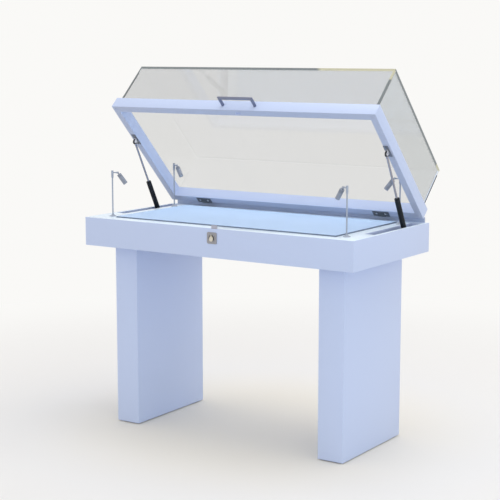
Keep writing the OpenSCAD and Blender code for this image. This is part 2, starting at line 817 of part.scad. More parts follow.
module glass_front() color(clear_glass) on_hood() slab(
    [-glass_half_w, -glass_half_d, pane_bottom_z],
    [glass_half_w, -glass_half_d + glass_t, glass_top_z - glass_t]);

module glass_rear() color(clear_glass) on_hood() slab(
    [-glass_half_w, glass_half_d - glass_t, pane_bottom_z],
    [glass_half_w, glass_half_d, glass_top_z - glass_t]);

module glass_side() color(clear_glass) on_hood() slab(
    [glass_half_w - glass_t, -glass_half_d + glass_t, pane_bottom_z],
    [glass_half_w, glass_half_d - glass_t, glass_top_z - glass_t]);

module frame_buffers() color(soft_grey) on_hood() for (sx = [-1, 1], sy = [-1, 1])
    translate([sx * (frame_half_w - side_rail_w / 2), sy * (frame_half_d - front_rail_w / 2),
        frame_z - buffer_t]) cylinder(r1 = buffer_r - 1, r2 = buffer_r, h = buffer_t);

// --- Handle, above the lock, its feet on the front face of the front rail -

module in_handle() translate([lock_x, -frame_half_d, frame_z + rail_h / 2]) children();

// A round bar with two tight bends, a tapped hole in each foot
module pull_handle() color("slategray") on_hood() in_handle() difference() {
    union() {
        translate([0, -handle_reach, 0]) across_x(handle_r, 2 * handle_bend_x);
        for (s = [0, 1]) mirror([s, 0, 0]) {
            translate([handle_bend_x, handle_bend_r - handle_reach, 0]) rotate([0, 0, -90])
                rotate_extrude(angle = 90) translate([handle_bend_r, 0]) circle(handle_r);
            translate([handle_span / 2, 0, 0])
                along_y(handle_r, handle_bend_r - handle_reach, 0);
        }
    }
    for (s = [-1, 1]) translate([s * handle_span / 2, 0, 0])
        along_y(handle_screw_r + fit, -handle_tap, over);
}

module handle_screw_set(gap = 0) in_handle() for (s = [-1, 1])
    translate([s * handle_span / 2, 0, 0]) {
        along_y(handle_screw_r + gap, handle_tap_end - handle_tap, front_rail_w - handle_head_h + gap);
        along_y(handle_head_r + gap, front_rail_w - handle_head_h, front_rail_w + 2 * gap);
    }

module handle_screws() color(zinc) on_hood() handle_screw_set();

module lid_screws() color(zinc) on_hood() {
    strap_screws();
    both_ends() upper_bracket_screws();
}

// --- Lock -----------------------------------------------------------------

// Turns an outline drawn in x and z into a plate whose front is at front_y
module upright_plate(front_y, thickness) translate([0, front_y + thickness, 0])
    rotate([90, 0, 0]) linear_extrude(thickness) children();

module lock_case() color(zinc) in_case() difference() {
    union() {
        upright_plate(lock_back_y, lock_case_t) {
            translate([lock_x, lock_z]) circle(lock_flange_r);
            translate([hook_x, lock_z]) circle(hook_plate_r);
            translate([hook_x, lock_z - hook_plate_r]) square([hook_pivot_x, 2 * hook_plate_r]);
        }
        translate([lock_x, 0, lock_z]) along_y(lock_barrel_r, -half_d, lock_barrel_y);
        translate([hook_x, 0, lock_z])
            along_y(hook_hub_r, lock_back_y + lock_case_t / 2, hook_y - slide_gap);
        translate([hook_x, 0, lock_z]) along_y(hook_stud_r, lock_back_y, hook_y + hook_t + over);
    }
    translate([lock_x, 0, lock_z]) along_y(plug_r + fit, -half_d - over, plug_tail_y);
}

module escutcheon() color(nickel) in_case() difference() {
    union() {
        upright_plate(-half_d - plate_t, plate_t)
            translate([lock_x, lock_z]) rounded_square(plate_side, plate_corner_r);
        translate([lock_x, 0, lock_z]) along_y(ring_r, ring_front_y, -half_d);
    }
    translate([lock_x, 0, lock_z]) along_y(plug_r + fit, ring_front_y - over, -half_d + over);
}

// Drop-shaped cover that swings over the keyhole, point upwards
module drop_outline() {
    lean = asin(drop_r / (drop_point - drop_low));
    translate([0, drop_low]) circle(drop_r);
    polygon([[-drop_r * cos(lean), drop_low + drop_r * sin(lean)],
        [drop_r * cos(lean), drop_low + drop_r * sin(lean)], [0, drop_point]]);
}

module lock_plug() color("darkkhaki") in_case() difference() {
    union() {
        translate([lock_x, 0, lock_z]) along_y(plug_r, ring_front_y - slide_gap - over, plug_tail_y);
        upright_plate(lock_front_y, cover_t - slide_gap)
            translate([lock_x, lock_z]) drop_outline();
    }
    slab([lock_x - keyway_half, lock_front_y - over, lock_z - keyway_low],
        [lock_x + keyway_half, lock_front_y + keyway_depth, lock_z + keyway_up]);
}

module lock_hook() color(zinc) in_case() translate([hook_x, hook_y + hook_t, lock_z])
    rotate([90, 0, 0]) difference() {
        union() {
            cylinder(r = hook_hub_r, h = hook_t);
            rotate(hook_tip - hook_sweep) {
                rotate_extrude(angle = hook_sweep) translate([hook_r, 0]) square([hook_w, hook_t]);
                cube([hook_out_r - hook_w / 2, hook_w, hook_t]);
            }
        }
        translate([0, 0, -over]) cylinder(r = hook_stud_r + fit, h = hook_t + 2 * over);
    }

module strike_plate() color(zinc) in_case() difference() {
    union() {
        slab([strike_x + slide_gap, -half_d, table_h - strike_t],
            [strike_x + strike_w - slide_gap, -opening_half_d, table_h]);
        slab([strike_x + slide_gap, -half_d, table_h - strike_t],
            [strike_x + strike_w - slide_gap, -half_d + strike_tab_t, table_h + strike_tab_h]);
    }
    slab([slot_near_x, strike_slot_front, table_h - strike_t - over],
        [slot_far_x, strike_slot_front + strike_slot_w, table_h + over]);
}

// --- Lamps ----------------------------------------------------------------

module at_lamps() for (sx = [-1, 1], y = [lamp_front_y, lamp_back_y])
    translate([sx * lamp_x, y, 0]) children();

module lamp_feet() color(white_metal) in_case() at_lamps() translate([0, 0, table_h])
    rotate_extrude() polygon([[post_r + fit, 0], [lamp_foot_r, 0], [lamp_foot_r, foot_edge_h],
        [foot_bowl_r, foot_bowl_h], [foot_neck_r, lamp_foot_h * foot_neck_share],
        [foot_top_r, lamp_foot_h], [post_r + fit, lamp_foot_h]]);

module lamp_posts() color(white_metal) in_case() at_lamps() difference() {
    translate([0, 0, post_start_z]) cylinder(r = post_r, h = post_end_z - post_start_z);
    translate([0, 0, post_start_z - over])
        cylinder(r = post_bore_r, h = post_end_z - post_bore_cap - post_start_z + over);
}

module lamp_nuts() color(zinc) in_case() at_lamps() difference() {
    translate([0, 0, rim_bottom_z - lamp_nut_h]) cylinder(r = lamp_nut_r, h = lamp_nut_h, $fn = 6);
    translate([0, 0, rim_bottom_z - lamp_nut_h - over])
        cylinder(r = post_r + fit, h = lamp_nut_h + 2 * over);
}

// sx picks the left or right lamp and sy the front or rear one
function lamp_y(sy) = sy < 0 ? lamp_front_y : lamp_back_y;
function arm_turn(sy) = sy < 0 ? front_arm_turn : rear_arm_turn;
function arm_heading(sx, sy) = atan2(-sy * sin(arm_turn(sy)), -sx * cos(arm_turn(sy)));

// Arm coordinates: post axis at the origin, arm along +X
module on_lamp(sx, sy) in_case() translate([sx * lamp_x, lamp_y(sy), 0])
    rotate([0, 0, arm_heading(sx, sy)]) children();

module lamp_arm(sx, sy) color(white_metal) on_lamp(sx, sy) difference() {
    web_x = arm_len - knuckle_r - knuckle_tail;
    union() {
        translate([0, 0, lamp_top_z - sleeve_h]) cylinder(r = sleeve_r, h = sleeve_h);
        translate([0, 0, arm_z]) rotate([0, 90, 0]) cylinder(r = arm_r, h = web_x + over);
        for (s = [0, 1]) mirror([0, s, 0]) translate([0, knuckle_ear_y, arm_z]) {
            translate([arm_len, 0, 0]) rotate([-90, 0, 0])
                cylinder(r = knuckle_r, h = knuckle_ear_t);
            translate([web_x, 0, -arm_r]) cube([arm_len - web_x, knuckle_ear_t, 2 * arm_r]);
        }
        translate([web_x, -knuckle_ear_y - knuckle_ear_t / 2, arm_z - arm_r])
            cube([knuckle_ear_t, 2 * knuckle_ear_y + knuckle_ear_t, 2 * arm_r]);
        translate([arm_len, 0, arm_z]) rotate([90, 0, 0])
            cylinder(r = tilt_pin_r, h = 2 * knuckle_ear_y + knuckle_ear_t, center = true);
    }
    translate([0, 0, lamp_top_z - sleeve_h - over])
        cylinder(r = post_r + fit, h = sleeve_h - sleeve_cap + slide_gap + over);
}

module lamp_head(sx, sy) color(white_metal) on_lamp(sx, sy) translate([arm_len, 0, arm_z])
    rotate([0, head_tilt, 0]) difference() {
        union() {
            rotate([90, 0, 0]) cylinder(r = tongue_r, h = knuckle_gap, center = true);
            translate([0, -knuckle_gap / 2, -knuckle_r / 2])
                cube([head_start + over, knuckle_gap, knuckle_r]);
            translate([head_start, 0, 0]) rotate([0, 90, 0]) rotate_extrude() polygon([
                [0, 0], [head_r - head_shoulder, 0], [head_r, head_shoulder], [head_r, head_len],
                [head_r - head_wall, head_len],
                [head_r - head_wall - head_taper, head_len - head_cup],
                [0, head_len - head_cup]]);
        }
        rotate([90, 0, 0]) cylinder(r = tilt_pin_r + fit, h = 2 * knuckle_gap, center = true);
    }

// --- Electrics in the tray ------------------------------------------------

module in_electrics(back) in_case() translate([0, half_d - back, 0]) children();

module led_driver() color("whitesmoke") in_electrics(driver_back)
    translate([0, 0, tray_floor_z]) difference() {
        union() {
            translate([-driver_w / 2, -driver_d / 2, 0]) cube([driver_w, driver_d, driver_h]);
            translate([-driver_w / 2 - driver_lug, -driver_d / 4, 0])
                cube([driver_w + 2 * driver_lug, driver_d / 2, driver_lug_t]);
        }
        for (s = [-1, 1]) translate([s * (driver_w + driver_lug) / 2, 0, -over])
            cylinder(r = driver_hole_r, h = driver_lug_t + 2 * over);
    }

module cable_gland() color(dark_steel) in_electrics(gland_back) difference() {
    cap_z = tray_bottom_z - gland_flange_h - gland_cap_h;
    union() {
        for (z = [tray_bottom_z - gland_flange_h, tray_floor_z]) translate([0, 0, z])
            cylinder(r = gland_flange_r, h = gland_flange_h, $fn = 6);
        translate([0, 0, tray_bottom_z - over]) cylinder(r = gland_r, h = floor_t + gland_rise);
        translate([0, 0, cap_z]) cylinder(r1 = gland_r - gland_cap_taper,
            r2 = gland_r + gland_cap_taper, h = gland_cap_h + over / 2);
    }
    translate([0, 0, cap_z - over])
        cylinder(r = gland_bore_r, h = tray_floor_z + gland_rise - cap_z + over);
}

front_apron();
rear_apron();
mirror([1, 0, 0]) end_apron();  // left_apron
end_apron();  // right_apron
front_rim();
rear_rim();
mirror([1, 0, 0]) end_rim();  // left_rim
end_rim();  // right_rim
tray_floor();
deck_ledges();
display_deck();
leg_side_boards();
leg_end_boards();
leg_blocks();
leg_bolts();
glides();
hinge_case_leaves();
hinge_pins();
case_screws();
strut_lower_brackets();
lock_case();
escutcheon();
strike_plate();
lamp_feet();
lamp_posts();
lamp_nuts();
led_driver();
cable_gland();
frame_front_rail();
frame_rear_rail();
mirror([1, 0, 0]) frame_side_rail();  // frame_left_rail
frame_side_rail();  // frame_right_rail
glazing_channel();
glass_top();
glass_front();
glass_rear();
mirror([1, 0, 0]) glass_side();  // glass_left
glass_side();  // glass_right
frame_buffers();
pull_handle();
handle_screws();
hinge_lid_leaves();
lid_screws();
strut_upper_brackets();
strut_pins();
strut_rod(-1);  // left_strut_rod
strut_tube(-1);  // left_strut_tube
strut_rod(1);  // right_strut_rod
strut_tube(1);  // right_strut_tube
lock_plug();
lock_hook();
lamp_arm(-1, -1);  // lamp_arm_front_left
lamp_arm(1, -1);  // lamp_arm_front_right
lamp_arm(-1, 1);  // lamp_arm_rear_left
lamp_arm(1, 1);  // lamp_arm_rear_right
lamp_head(-1, -1);  // lamp_head_front_left
lamp_head(1, -1);  // lamp_head_front_right
lamp_head(-1, 1);  // lamp_head_rear_left
lamp_head(1, 1);  // lamp_head_rear_right
rear_upstand();
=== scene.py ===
"""Finishes and fine detail of a pedestal display case, built around its packed construction."""
import json
import math
from contextlib import contextmanager

import bmesh
import bpy
from mathutils import Matrix, Vector


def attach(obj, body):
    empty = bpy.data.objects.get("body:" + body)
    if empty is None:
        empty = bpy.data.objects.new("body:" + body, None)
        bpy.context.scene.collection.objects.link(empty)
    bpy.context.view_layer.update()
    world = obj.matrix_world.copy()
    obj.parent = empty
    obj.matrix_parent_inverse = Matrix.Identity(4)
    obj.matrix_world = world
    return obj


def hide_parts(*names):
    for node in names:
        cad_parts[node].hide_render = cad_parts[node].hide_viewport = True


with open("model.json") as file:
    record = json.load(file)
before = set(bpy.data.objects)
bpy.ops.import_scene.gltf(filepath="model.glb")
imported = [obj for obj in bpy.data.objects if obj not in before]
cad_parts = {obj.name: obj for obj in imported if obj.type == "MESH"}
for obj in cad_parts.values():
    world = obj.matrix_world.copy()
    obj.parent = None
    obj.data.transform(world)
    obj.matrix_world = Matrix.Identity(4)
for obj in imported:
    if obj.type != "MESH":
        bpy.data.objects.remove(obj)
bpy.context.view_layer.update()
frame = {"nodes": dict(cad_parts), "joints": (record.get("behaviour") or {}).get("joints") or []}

bl_info = {
    "name": "Pedestal display case",
    "version": (1, 0, 0),
    "blender": (4, 5, 0),
    "location": "3D View > Sidebar > Display case",
    "description": "Dresses the construction of a pedestal display case",
    "category": "Object",
}

JOINTS = {joint["name"]: joint for joint in frame["joints"]}

MM = 0.001
HAIR = 0.05 * MM  # two CAD faces this close lie on one level
ROUND = 48  # sides of a round piece
SMALL_ROUND = 32
TINY_ROUND = 24
UP = Vector((0, 0, 1))
IN_PLACE = Matrix.Identity(4)
ALONG_X = Matrix.Rotation(math.pi / 2, 4, "Y")
FACING_DOWN = Matrix.Rotation(math.pi, 4, "X")


def about(point, angle, axis):
    """A turn by angle about an axis through a point."""
    place = Matrix.Translation(point)
    return place @ Matrix.Rotation(angle, 4, axis) @ place.inverted()


HINGE = Vector(JOINTS["hood_hinge"]["pos_m"])
OPEN_ANGLE = math.radians(JOINTS["hood_hinge"]["range_deg"][1])
HOOD_OPEN = about(HINGE, -OPEN_ANGLE, "X")
HOOD_SHUT = HOOD_OPEN.inverted()


def cad_points(node, into=IN_PLACE, keep=None):
    """Points of a CAD node in the axes led into, all of them or those that a test keeps."""
    points = [into @ vertex.co for vertex in frame["nodes"][node].data.vertices]
    return [point for point in points if keep is None or keep(point)]


def corners(points):
    """Lowest and highest corner of some points."""
    return (Vector(min(p[i] for p in points) for i in range(3)),
            Vector(max(p[i] for p in points) for i in range(3)))


def node_box(node, keep=None):
    return corners(cad_points(node, IN_PLACE, keep))


def hood_box(node, keep=None):
    """The box of a hood node with the hood shut."""
    return corners(cad_points(node, HOOD_SHUT, keep))


def on_the_right(point):
    return point.x > 0


# ---------------------------------------------------------------------------
# Modelling by operators


def deselect():
    if bpy.context.object and bpy.context.object.mode != "OBJECT":
        bpy.ops.object.mode_set(mode="OBJECT")
    bpy.ops.object.select_all(action="DESELECT")


def select_only(*objects):
    deselect()
    for item in objects:
        item.select_set(True)
    bpy.context.view_layer.objects.active = objects[0]


@contextmanager
def editing(item):
    """Edit mode on one object, with everything selected."""
    select_only(item)
    bpy.ops.object.mode_set(mode="EDIT")
    bpy.ops.mesh.select_all(action="SELECT")
    yield
    bpy.ops.object.mode_set(mode="OBJECT")


def pick_faces(item, test):
    """In edit mode, selects the faces that pass a test."""
    mesh = bmesh.from_edit_mesh(item.data)
    bpy.ops.mesh.select_all(action="DESELECT")
    bpy.ops.mesh.select_mode(type="FACE")
    for face in mesh.faces:
        if test(face):
            face.select_set(True)
    mesh.select_flush_mode()
    bmesh.update_edit_mesh(item.data)


def face_outwards():
    """In edit mode, turns all faces outwards."""
    bpy.ops.mesh.select_all(action="SELECT")
    bpy.ops.mesh.normals_make_consistent(inside=False)


def settle():
    bpy.ops.object.transform_apply(location=True, rotation=True, scale=True)
    return bpy.context.object


def block(low, high):
    """A block between two corners."""
    deselect()
    low, high = Vector(low), Vector(high)
    bpy.ops.mesh.primitive_cube_add(size=1, location=(low + high) / 2, scale=high - low)
    return settle()


def cutter(low, high, below=MM, above=MM):
    """A block that cuts through, running past its lower and its upper face."""
    return block(low - below * UP, high + above * UP)


def rod(radius, start, end, segments=ROUND):
    """A round bar between two points."""
    deselect()
    bpy.ops.mesh.primitive_cylinder_add(
        vertices=segments, radius=radius, depth=(end - start).length, location=(start + end) / 2,
        rotation=(end - start).to_track_quat("Z", "Y").to_euler())
    return settle()


def profile(*points, base=0.0):
    """Radii and heights for a turned piece, from millimetres, with the heights above a base."""
    return [(radius * MM, base + height * MM) for radius, height in points]


def turned(outline, segments=ROUND):
    """A turned piece along +Z: a disc at the first (radius, height), drawn out through the rest."""
    deselect()
    radius, height = outline[0]
    bpy.ops.mesh.primitive_circle_add(
        vertices=segments, radius=radius, fill_type="NGON", location=(0, 0, height))
    item = settle()
    with editing(item):
        for next_radius, next_height in outline[1:]:
            bpy.ops.mesh.extrude_region_move(
                TRANSFORM_OT_translate={"value": (0, 0, next_height - height)})
            share = next_radius / radius
            bpy.ops.transform.resize(value=(share, share, 1), center_override=(0, 0, next_height))
            radius, height = next_radius, next_height
        face_outwards()
    return item


def drawn_out(outline, depth):
    """A plate with a flat outline in x and y, drawn out along +Z."""
    deselect()
    bpy.ops.mesh.primitive_circle_add(vertices=len(outline), radius=1, fill_type="NGON")
    item = settle()
    for vertex, (x, y) in zip(item.data.vertices, outline):
        vertex.co = (x, y, 0)
    with editing(item):
        bpy.ops.mesh.extrude_region_move(TRANSFORM_OT_translate={"value": (0, 0, depth)})
        face_outwards()
    return item


def arc(radius, start, sweep, steps):
    """Points of an arc about the origin, with both ends."""
    angles = [start + sweep * step / steps for step in range(steps + 1)]
    return [(radius * math.cos(angle), radius * math.sin(angle)) for angle in angles]


def cut_off(item, point, normal):
    """Removes what lies beyond a plane, along its normal, and closes the cut."""
    with editing(item):
        bpy.ops.mesh.bisect(plane_co=point, plane_no=normal, clear_outer=True, use_fill=True)


def carve(item, *cutters):
    """Cuts a piece with others, which are used up."""
    for tool in cutters:
        select_only(item)
        bpy.ops.object.modifier_add(type="BOOLEAN")
        cut = item.modifiers[-1]
        cut.operation = "DIFFERENCE"
        cut.solver = "EXACT"
        cut.object = tool
        bpy.ops.object.modifier_apply(modifier=cut.name)
        bpy.data.objects.remove(tool, do_unlink=True)
    return item


def smoothed(item, angle=35):
    """Smooths the round stretches of a piece and leaves the edges sharper than an angle."""
    select_only(item)
    bpy.ops.object.shade_smooth_by_angle(angle=math.radians(angle))
    return item


def bevelled(item, width, segments=2, angle=30):
    """Rounds the sharp edges of a piece and smooths its round stretches."""
    select_only(item)
    bpy.ops.object.modifier_add(type="BEVEL")
    bevel = item.modifiers[-1]
    bevel.width = width
    bevel.segments = segments
    bevel.limit_method = "ANGLE"
    bevel.angle_limit = math.radians(angle)
    bevel.harden_normals = False
    bpy.ops.object.modifier_apply(modifier=bevel.name)
    return smoothed(item, angle)


def joined(items):
    select_only(*items)
    if len(items) > 1:
        bpy.ops.object.join()
    return bpy.context.object


def moved(item, placing):
    select_only(item)
    item.matrix_world = placing
    return settle()


def mirrored(item):
    """A copy of a piece, with its own mesh, on the other side of the middle of the case."""
    select_only(item)
    bpy.ops.object.duplicate()
    twin = moved(bpy.context.object, Matrix.Scale(-1, 4, (1, 0, 0)))
    with editing(twin):
        bpy.ops.mesh.normals_make_consistent(inside=False)
    return twin


def both_sides(items):
    """Joins pieces of the right side and their mirror images."""
    right = joined(items)
    return joined([mirrored(right), right])


def piece(item, name, body, look, replaces=()):
    """Names a finished piece, gives it its finish and lets it ride on its body."""
    item.name = name
    item.data.name = name
    item.data.materials.clear()
    item.data.materials.append(look)
    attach(item, body)
    if replaces:
        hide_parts(*replaces)
    return item


def second_finish(item, look, test):
    """Gives the faces that pass a test one more finish."""
    item.data.materials.append(look)
    index = len(item.data.materials) - 1
    for face in item.data.polygons:
        if test(face):
            face.material_index = index


# ---------------------------------------------------------------------------
# Screws

SCREW_R = 4 * MM
SEAT_R = 4.3  # radius of a countersink, in millimetres
SCREW_REACH = 10 * MM  # points of one head lie closer than this
CROSS_LENGTH = 0.62  # shares of the head's radius
CROSS_WIDTH = 0.13
CROSS_DEPTH = 0.35


def screw_head(placing, rise, radius=SCREW_R):
    """A countersunk head with a cross recess, facing +Z of the matrix that places it."""
    head = turned([
        (radius / 2, -2 * MM), (radius, -0.1 * MM), (radius, 0), (radius * 0.8, rise * 0.7),
        (radius * 0.4, rise), (radius * 0.05, rise)], TINY_ROUND)
    width, length = radius * CROSS_WIDTH, radius * CROSS_LENGTH
    for across, along in ((width, length), (length, width)):
        carve(head, block((-across, -along, rise - radius * CROSS_DEPTH),
                          (across, along, rise + MM)))
    return moved(smoothed(head, 30), placing)


def middles(points, reach=SCREW_REACH):
    """The middle of each cluster of points."""
    clusters = []
    for point in points:
        for cluster in clusters:
            if (cluster[0] - point).length < reach:
                cluster.append(point)
                break
        else:
            clusters.append([point])
    return [sum(corners(cluster), Vector()) / 2 for cluster in clusters]


def hood_screws(level, rise, sink):
    """Countersinks and heads of the hood's right screws whose heads end on a level, facing down."""
    seats, heads = [], []
    for centre in middles(cad_points("lid_screws", HOOD_SHUT, lambda p: abs(p.z - level) < HAIR)):
        if on_the_right(centre):
            place = Matrix.Translation(centre)
            seats.append(moved(turned(profile((SEAT_R, -1), (SEAT_R, 0.2), (2, sink))), place))
            heads.append(screw_head(place @ FACING_DOWN, rise))
    return seats, heads


# ---------------------------------------------------------------------------
# Materials

MADE = {}


def new_material(name):
    """A new material, its node tree and its shader."""
    material = bpy.data.materials.new(name)
    material.use_nodes = True
    return material, material.node_tree, material.node_tree.nodes["Principled BSDF"]


def set_inputs(tree, node, values):
    """Sets inputs of a shader node, or links them where an output is given."""
    for name, value in values.items():
        if isinstance(value, bpy.types.NodeSocket):
            tree.links.new(value, node.inputs[name])
        else:
            node.inputs[name].default_value = value


def add_node(tree, kind, values=None, **settings):
    """A new shader node with its settings, and its inputs set or linked."""
    node = tree.nodes.new("ShaderNode" + kind)
    for name, setting in settings.items():
        setattr(node, name, setting)
    set_inputs(tree, node, values or {})
    return node


def mixed(tree, share, one, two):
    """The output of two mixed shaders."""
    return add_node(tree, "MixShader", {"Fac": share, 1: one, 2: two}).outputs["Shader"]


def blend(tree, share, one, two):
    """The output of two mixed colours."""
    values = {"Factor": share, "A": one, "B": two}
    return add_node(tree, "Mix", values, data_type="RGBA").outputs["Result"]


def surface_variation():
    """Shared effect: soft colour drift, a fine grain in the height and a drift in the gloss."""
    if "surface_variation" in bpy.data.node_groups:
        return bpy.data.node_groups["surface_variation"]
    group = bpy.data.node_groups.new("surface_variation", "ShaderNodeTree")
    for name, kind, usual in (
            ("Colour", "Color", (1, 1, 1, 1)), ("Shade", "Float", 0.03),
            ("Drift Scale", "Float", 3.0), ("Grain Scale", "Float", 600.0),
            ("Roughness", "Float", 0.4), ("Gloss Drift", "Float", 0.06),
            ("Stretch", "Vector", (1, 1, 1))):
        made = group.interface.new_socket(
            name=name, in_out="INPUT", socket_type="NodeSocket" + kind)
        made.default_value = usual
    for name, kind in (("Colour", "Color"), ("Roughness", "Float"), ("Height", "Float")):
        group.interface.new_socket(name=name, in_out="OUTPUT", socket_type="NodeSocket" + kind)
    given = group.nodes.new("NodeGroupInput").outputs
    place = add_node(group, "TexCoord").outputs["Object"]
    stretched = add_node(group, "VectorMath", {0: place, 1: given["Stretch"]},
                         operation="MULTIPLY")
    drift = add_node(group, "TexNoise", {
        "Vector": place, "Scale": given["Drift Scale"], "Detail": 3})
    grain = add_node(group, "TexNoise", {
        "Vector": stretched.outputs["Vector"], "Scale": given["Grain Scale"], "Detail": 2})
    centred = add_node(group, "Math", {0: drift.outputs["Fac"], 1: 0.5},
                       operation="SUBTRACT").outputs[0]
    shade = add_node(group, "Math", {0: centred, 1: given["Shade"], 2: 1.0},
                     operation="MULTIPLY_ADD")
    tint = add_node(group, "VectorMath", {0: given["Colour"], "Scale": shade.outputs[0]},
                    operation="SCALE")
    gloss = add_node(group, "Math", {
        0: centred, 1: given["Gloss Drift"], 2: given["Roughness"]}, operation="MULTIPLY_ADD")
    set_inputs(group, group.nodes.new("NodeGroupOutput"), {
        "Colour": tint.outputs[0], "Roughness": gloss.outputs[0], "Height": grain.outputs["Fac"]})
    return group


def finish(name, colour, roughness=0.4, metallic=0.0, shade=0.03, drift=3.0, grain=600.0,
           bump=0.02, gloss_drift=0.06, stretch=(1, 1, 1), coat=0.0, specular=0.5):
    """A material with the shared surface variation, its constants on the shader itself."""
    if name in MADE:
        return MADE[name]
    MADE[name], tree, shader = new_material("case_" + name)
    effect = add_node(tree, "Group", {
        "Colour": (*colour, 1), "Shade": shade, "Drift Scale": drift, "Grain Scale": grain,
        "Roughness": roughness, "Gloss Drift": gloss_drift, "Stretch": stretch},
        node_tree=surface_variation()).outputs
    relief = add_node(tree, "Bump", {
        "Strength": bump, "Distance": 0.5 * MM, "Height": effect["Height"]})
    set_inputs(tree, shader, {
        "Base Color": effect["Colour"], "Roughness": effect["Roughness"], "Metallic": metallic,
        "Coat Weight": coat, "Specular IOR Level": specular, "Normal": relief.outputs["Normal"]})
    return MADE[name]


def colours():
    return bpy.context.scene.case_colours


# Lacquer and board


def lacquered(name, colour, roughness, shade=0.02, drift=1.6, **more):
    return finish(name, colour, roughness, shade=shade, drift=drift, grain=900, bump=0.03, **more)


def lacquer():
    return lacquered("lacquer", colours().lacquer, 0.38, gloss_drift=0.05, specular=0.45)


# Painted light: a lighter copy of the lacquer for the rim's upper face, standing in for the light
# that falls on it
def rim_top_painted_light():
    return lacquered("rim_top_painted_light", colours().rim, 0.3, gloss_drift=0.05)


# Painted shade: a darker copy of the lacquer for the faces of the hood frame that point down
def underside_painted_shade():
    return lacquered("underside_painted_shade", (0.425, 0.48, 0.64), 0.45, specular=0.4)


# Painted shade: a near-dark copy of the lacquer for the deck's edges, standing in for the shadow in
# the gap round the deck
def deck_edge_painted_shade():
    return lacquered("deck_edge_painted_shade", (0.17, 0.225, 0.33), 0.5, 0.05, 2.2)


# Painted shade: a darker copy of the lacquer for the rear upstand, which lies in the shade of the
# rear rail
def upstand_painted_shade():
    return lacquered("upstand_painted_shade", (0.42, 0.48, 0.63), 0.45, 0.03, 2.2)


def deck_lacquer():
    return finish("deck_lacquer", colours().deck, 0.5, shade=0.02, drift=2.2, grain=1200,
                  bump=0.05, gloss_drift=0.05, specular=0.35)


def raw_board():
    return finish("raw_board", (0.62, 0.47, 0.30), 0.75, shade=0.25, drift=8, grain=220, bump=0.3,
                  stretch=(1, 8, 1))


# Metal


def metal(name, colour, roughness, metallic=1.0, shade=0.1, drift=60, grain=1500, bump=0.05,
          **more):
    return finish(name, colour, roughness, metallic, shade, drift, grain, bump, **more)


def satin_steel():
    return metal("satin_steel", colours().steel, 0.32, drift=30, grain=900, stretch=(1, 14, 14))


def bright_steel():
    return metal("bright_steel", (0.72, 0.73, 0.78), 0.2, shade=0.08, bump=0.03)


def pale_steel():
    return metal("pale_steel", (0.66, 0.67, 0.73), 0.35, 0.35, bump=0.03)


def zinc_steel():
    return metal("zinc_steel", (0.62, 0.63, 0.67), 0.34, shade=0.2, drift=90)


def dark_steel():
    return metal("dark_steel", (0.10, 0.115, 0.14), 0.4, 0.4, 0.2, 40, 1200, 0.06)


def grey_steel():
    return metal("grey_steel", (0.17, 0.19, 0.235), 0.4, 0.4, 0.2, grain=1200)


def strike_steel():
    return metal("strike_steel", (0.44, 0.44, 0.53), 0.4, 0.35, drift=70)


# Painted light: a pale copy of the strike plate's steel, standing in for the light on its upper
# faces
def strike_top_painted_light():
    return metal("strike_top_painted_light", (0.72, 0.82, 0.94), 0.4, 0.2, 0.05, bump=0.03)


def rod_steel():
    return metal("rod_steel", (0.34, 0.34, 0.39), 0.22, drift=30, grain=900, bump=0.02,
                 stretch=(1, 12, 1))


def handle_steel():
    return metal("handle_steel", colours().handle, 0.3, 0.85, 0.08, 25, 900, stretch=(0.1, 1, 1))


def lock_nickel():
    return metal("lock_nickel", (0.33, 0.325, 0.345), 0.36, 0.6, 0.12)


def cover_nickel():
    return metal("cover_nickel", (0.68, 0.635, 0.54), 0.28, 0.7, 0.12, 80)


def tube_black():
    return finish("tube_black", colours().tube, 0.42, shade=0.3, drift=30, grain=1400, bump=0.04,
                  specular=0.2)


def painted_metal(name, colour):
    return metal(name, colour, 0.3, 0.25, 0.05, 50, 1600, 0.03, coat=0.2)


def lamp_metal():
    return painted_metal("lamp_metal", colours().lamp)


# Partly painted shade: the lamp paint made darker on the heads, standing in for their shaded sides
def lamp_head_metal_and_shade():
    return painted_metal("lamp_head_metal_and_shade", colours().lamp_head)


# Plastic and rubber


# Painted shade: nearly black, for the floor of the gap between the lock's ring and its plug
def gap_painted_shade():
    return finish("gap_painted_shade", (0.02, 0.02, 0.025), 0.6, shade=0.2, drift=50, grain=900)


def black_plastic():
    return finish("black_plastic", (0.03, 0.03, 0.034), 0.5, shade=0.2, drift=40, grain=900,
                  bump=0.15)


def white_plastic():
    return finish("white_plastic", (0.80, 0.80, 0.80), 0.45, shade=0.04, drift=20, grain=900,
                  bump=0.1)


def soft_rubber():
    return finish("soft_rubber", (0.42, 0.475, 0.63), 0.6, shade=0.05, drift=20, grain=700,
                  bump=0.1)


# Glass

# Painted light and shade on one glass: how much each pane darkens or tints what is seen through it,
# beside the tint of them all
PANE_PAINTED_LIGHT = {
    "glass_top": (0.975, 0.975, 0.975),
    "glass_front": (1.05, 1.05, 1.055),
    "glass_rear": (0.975, 0.975, 0.975),
    "glass_left": (0.965, 0.965, 0.96),
    "glass_right": (0.955, 0.98, 0.985),
}
# Painted highlight: a warm glint painted on the dark pane edges near the hood's right-hand corners
GLINT = (0.57, 0.545, 0.37)
GLINT_SHARE = 0.85
GLINT_FADE = 0.94  # share of its reach at which a glint starts to fade


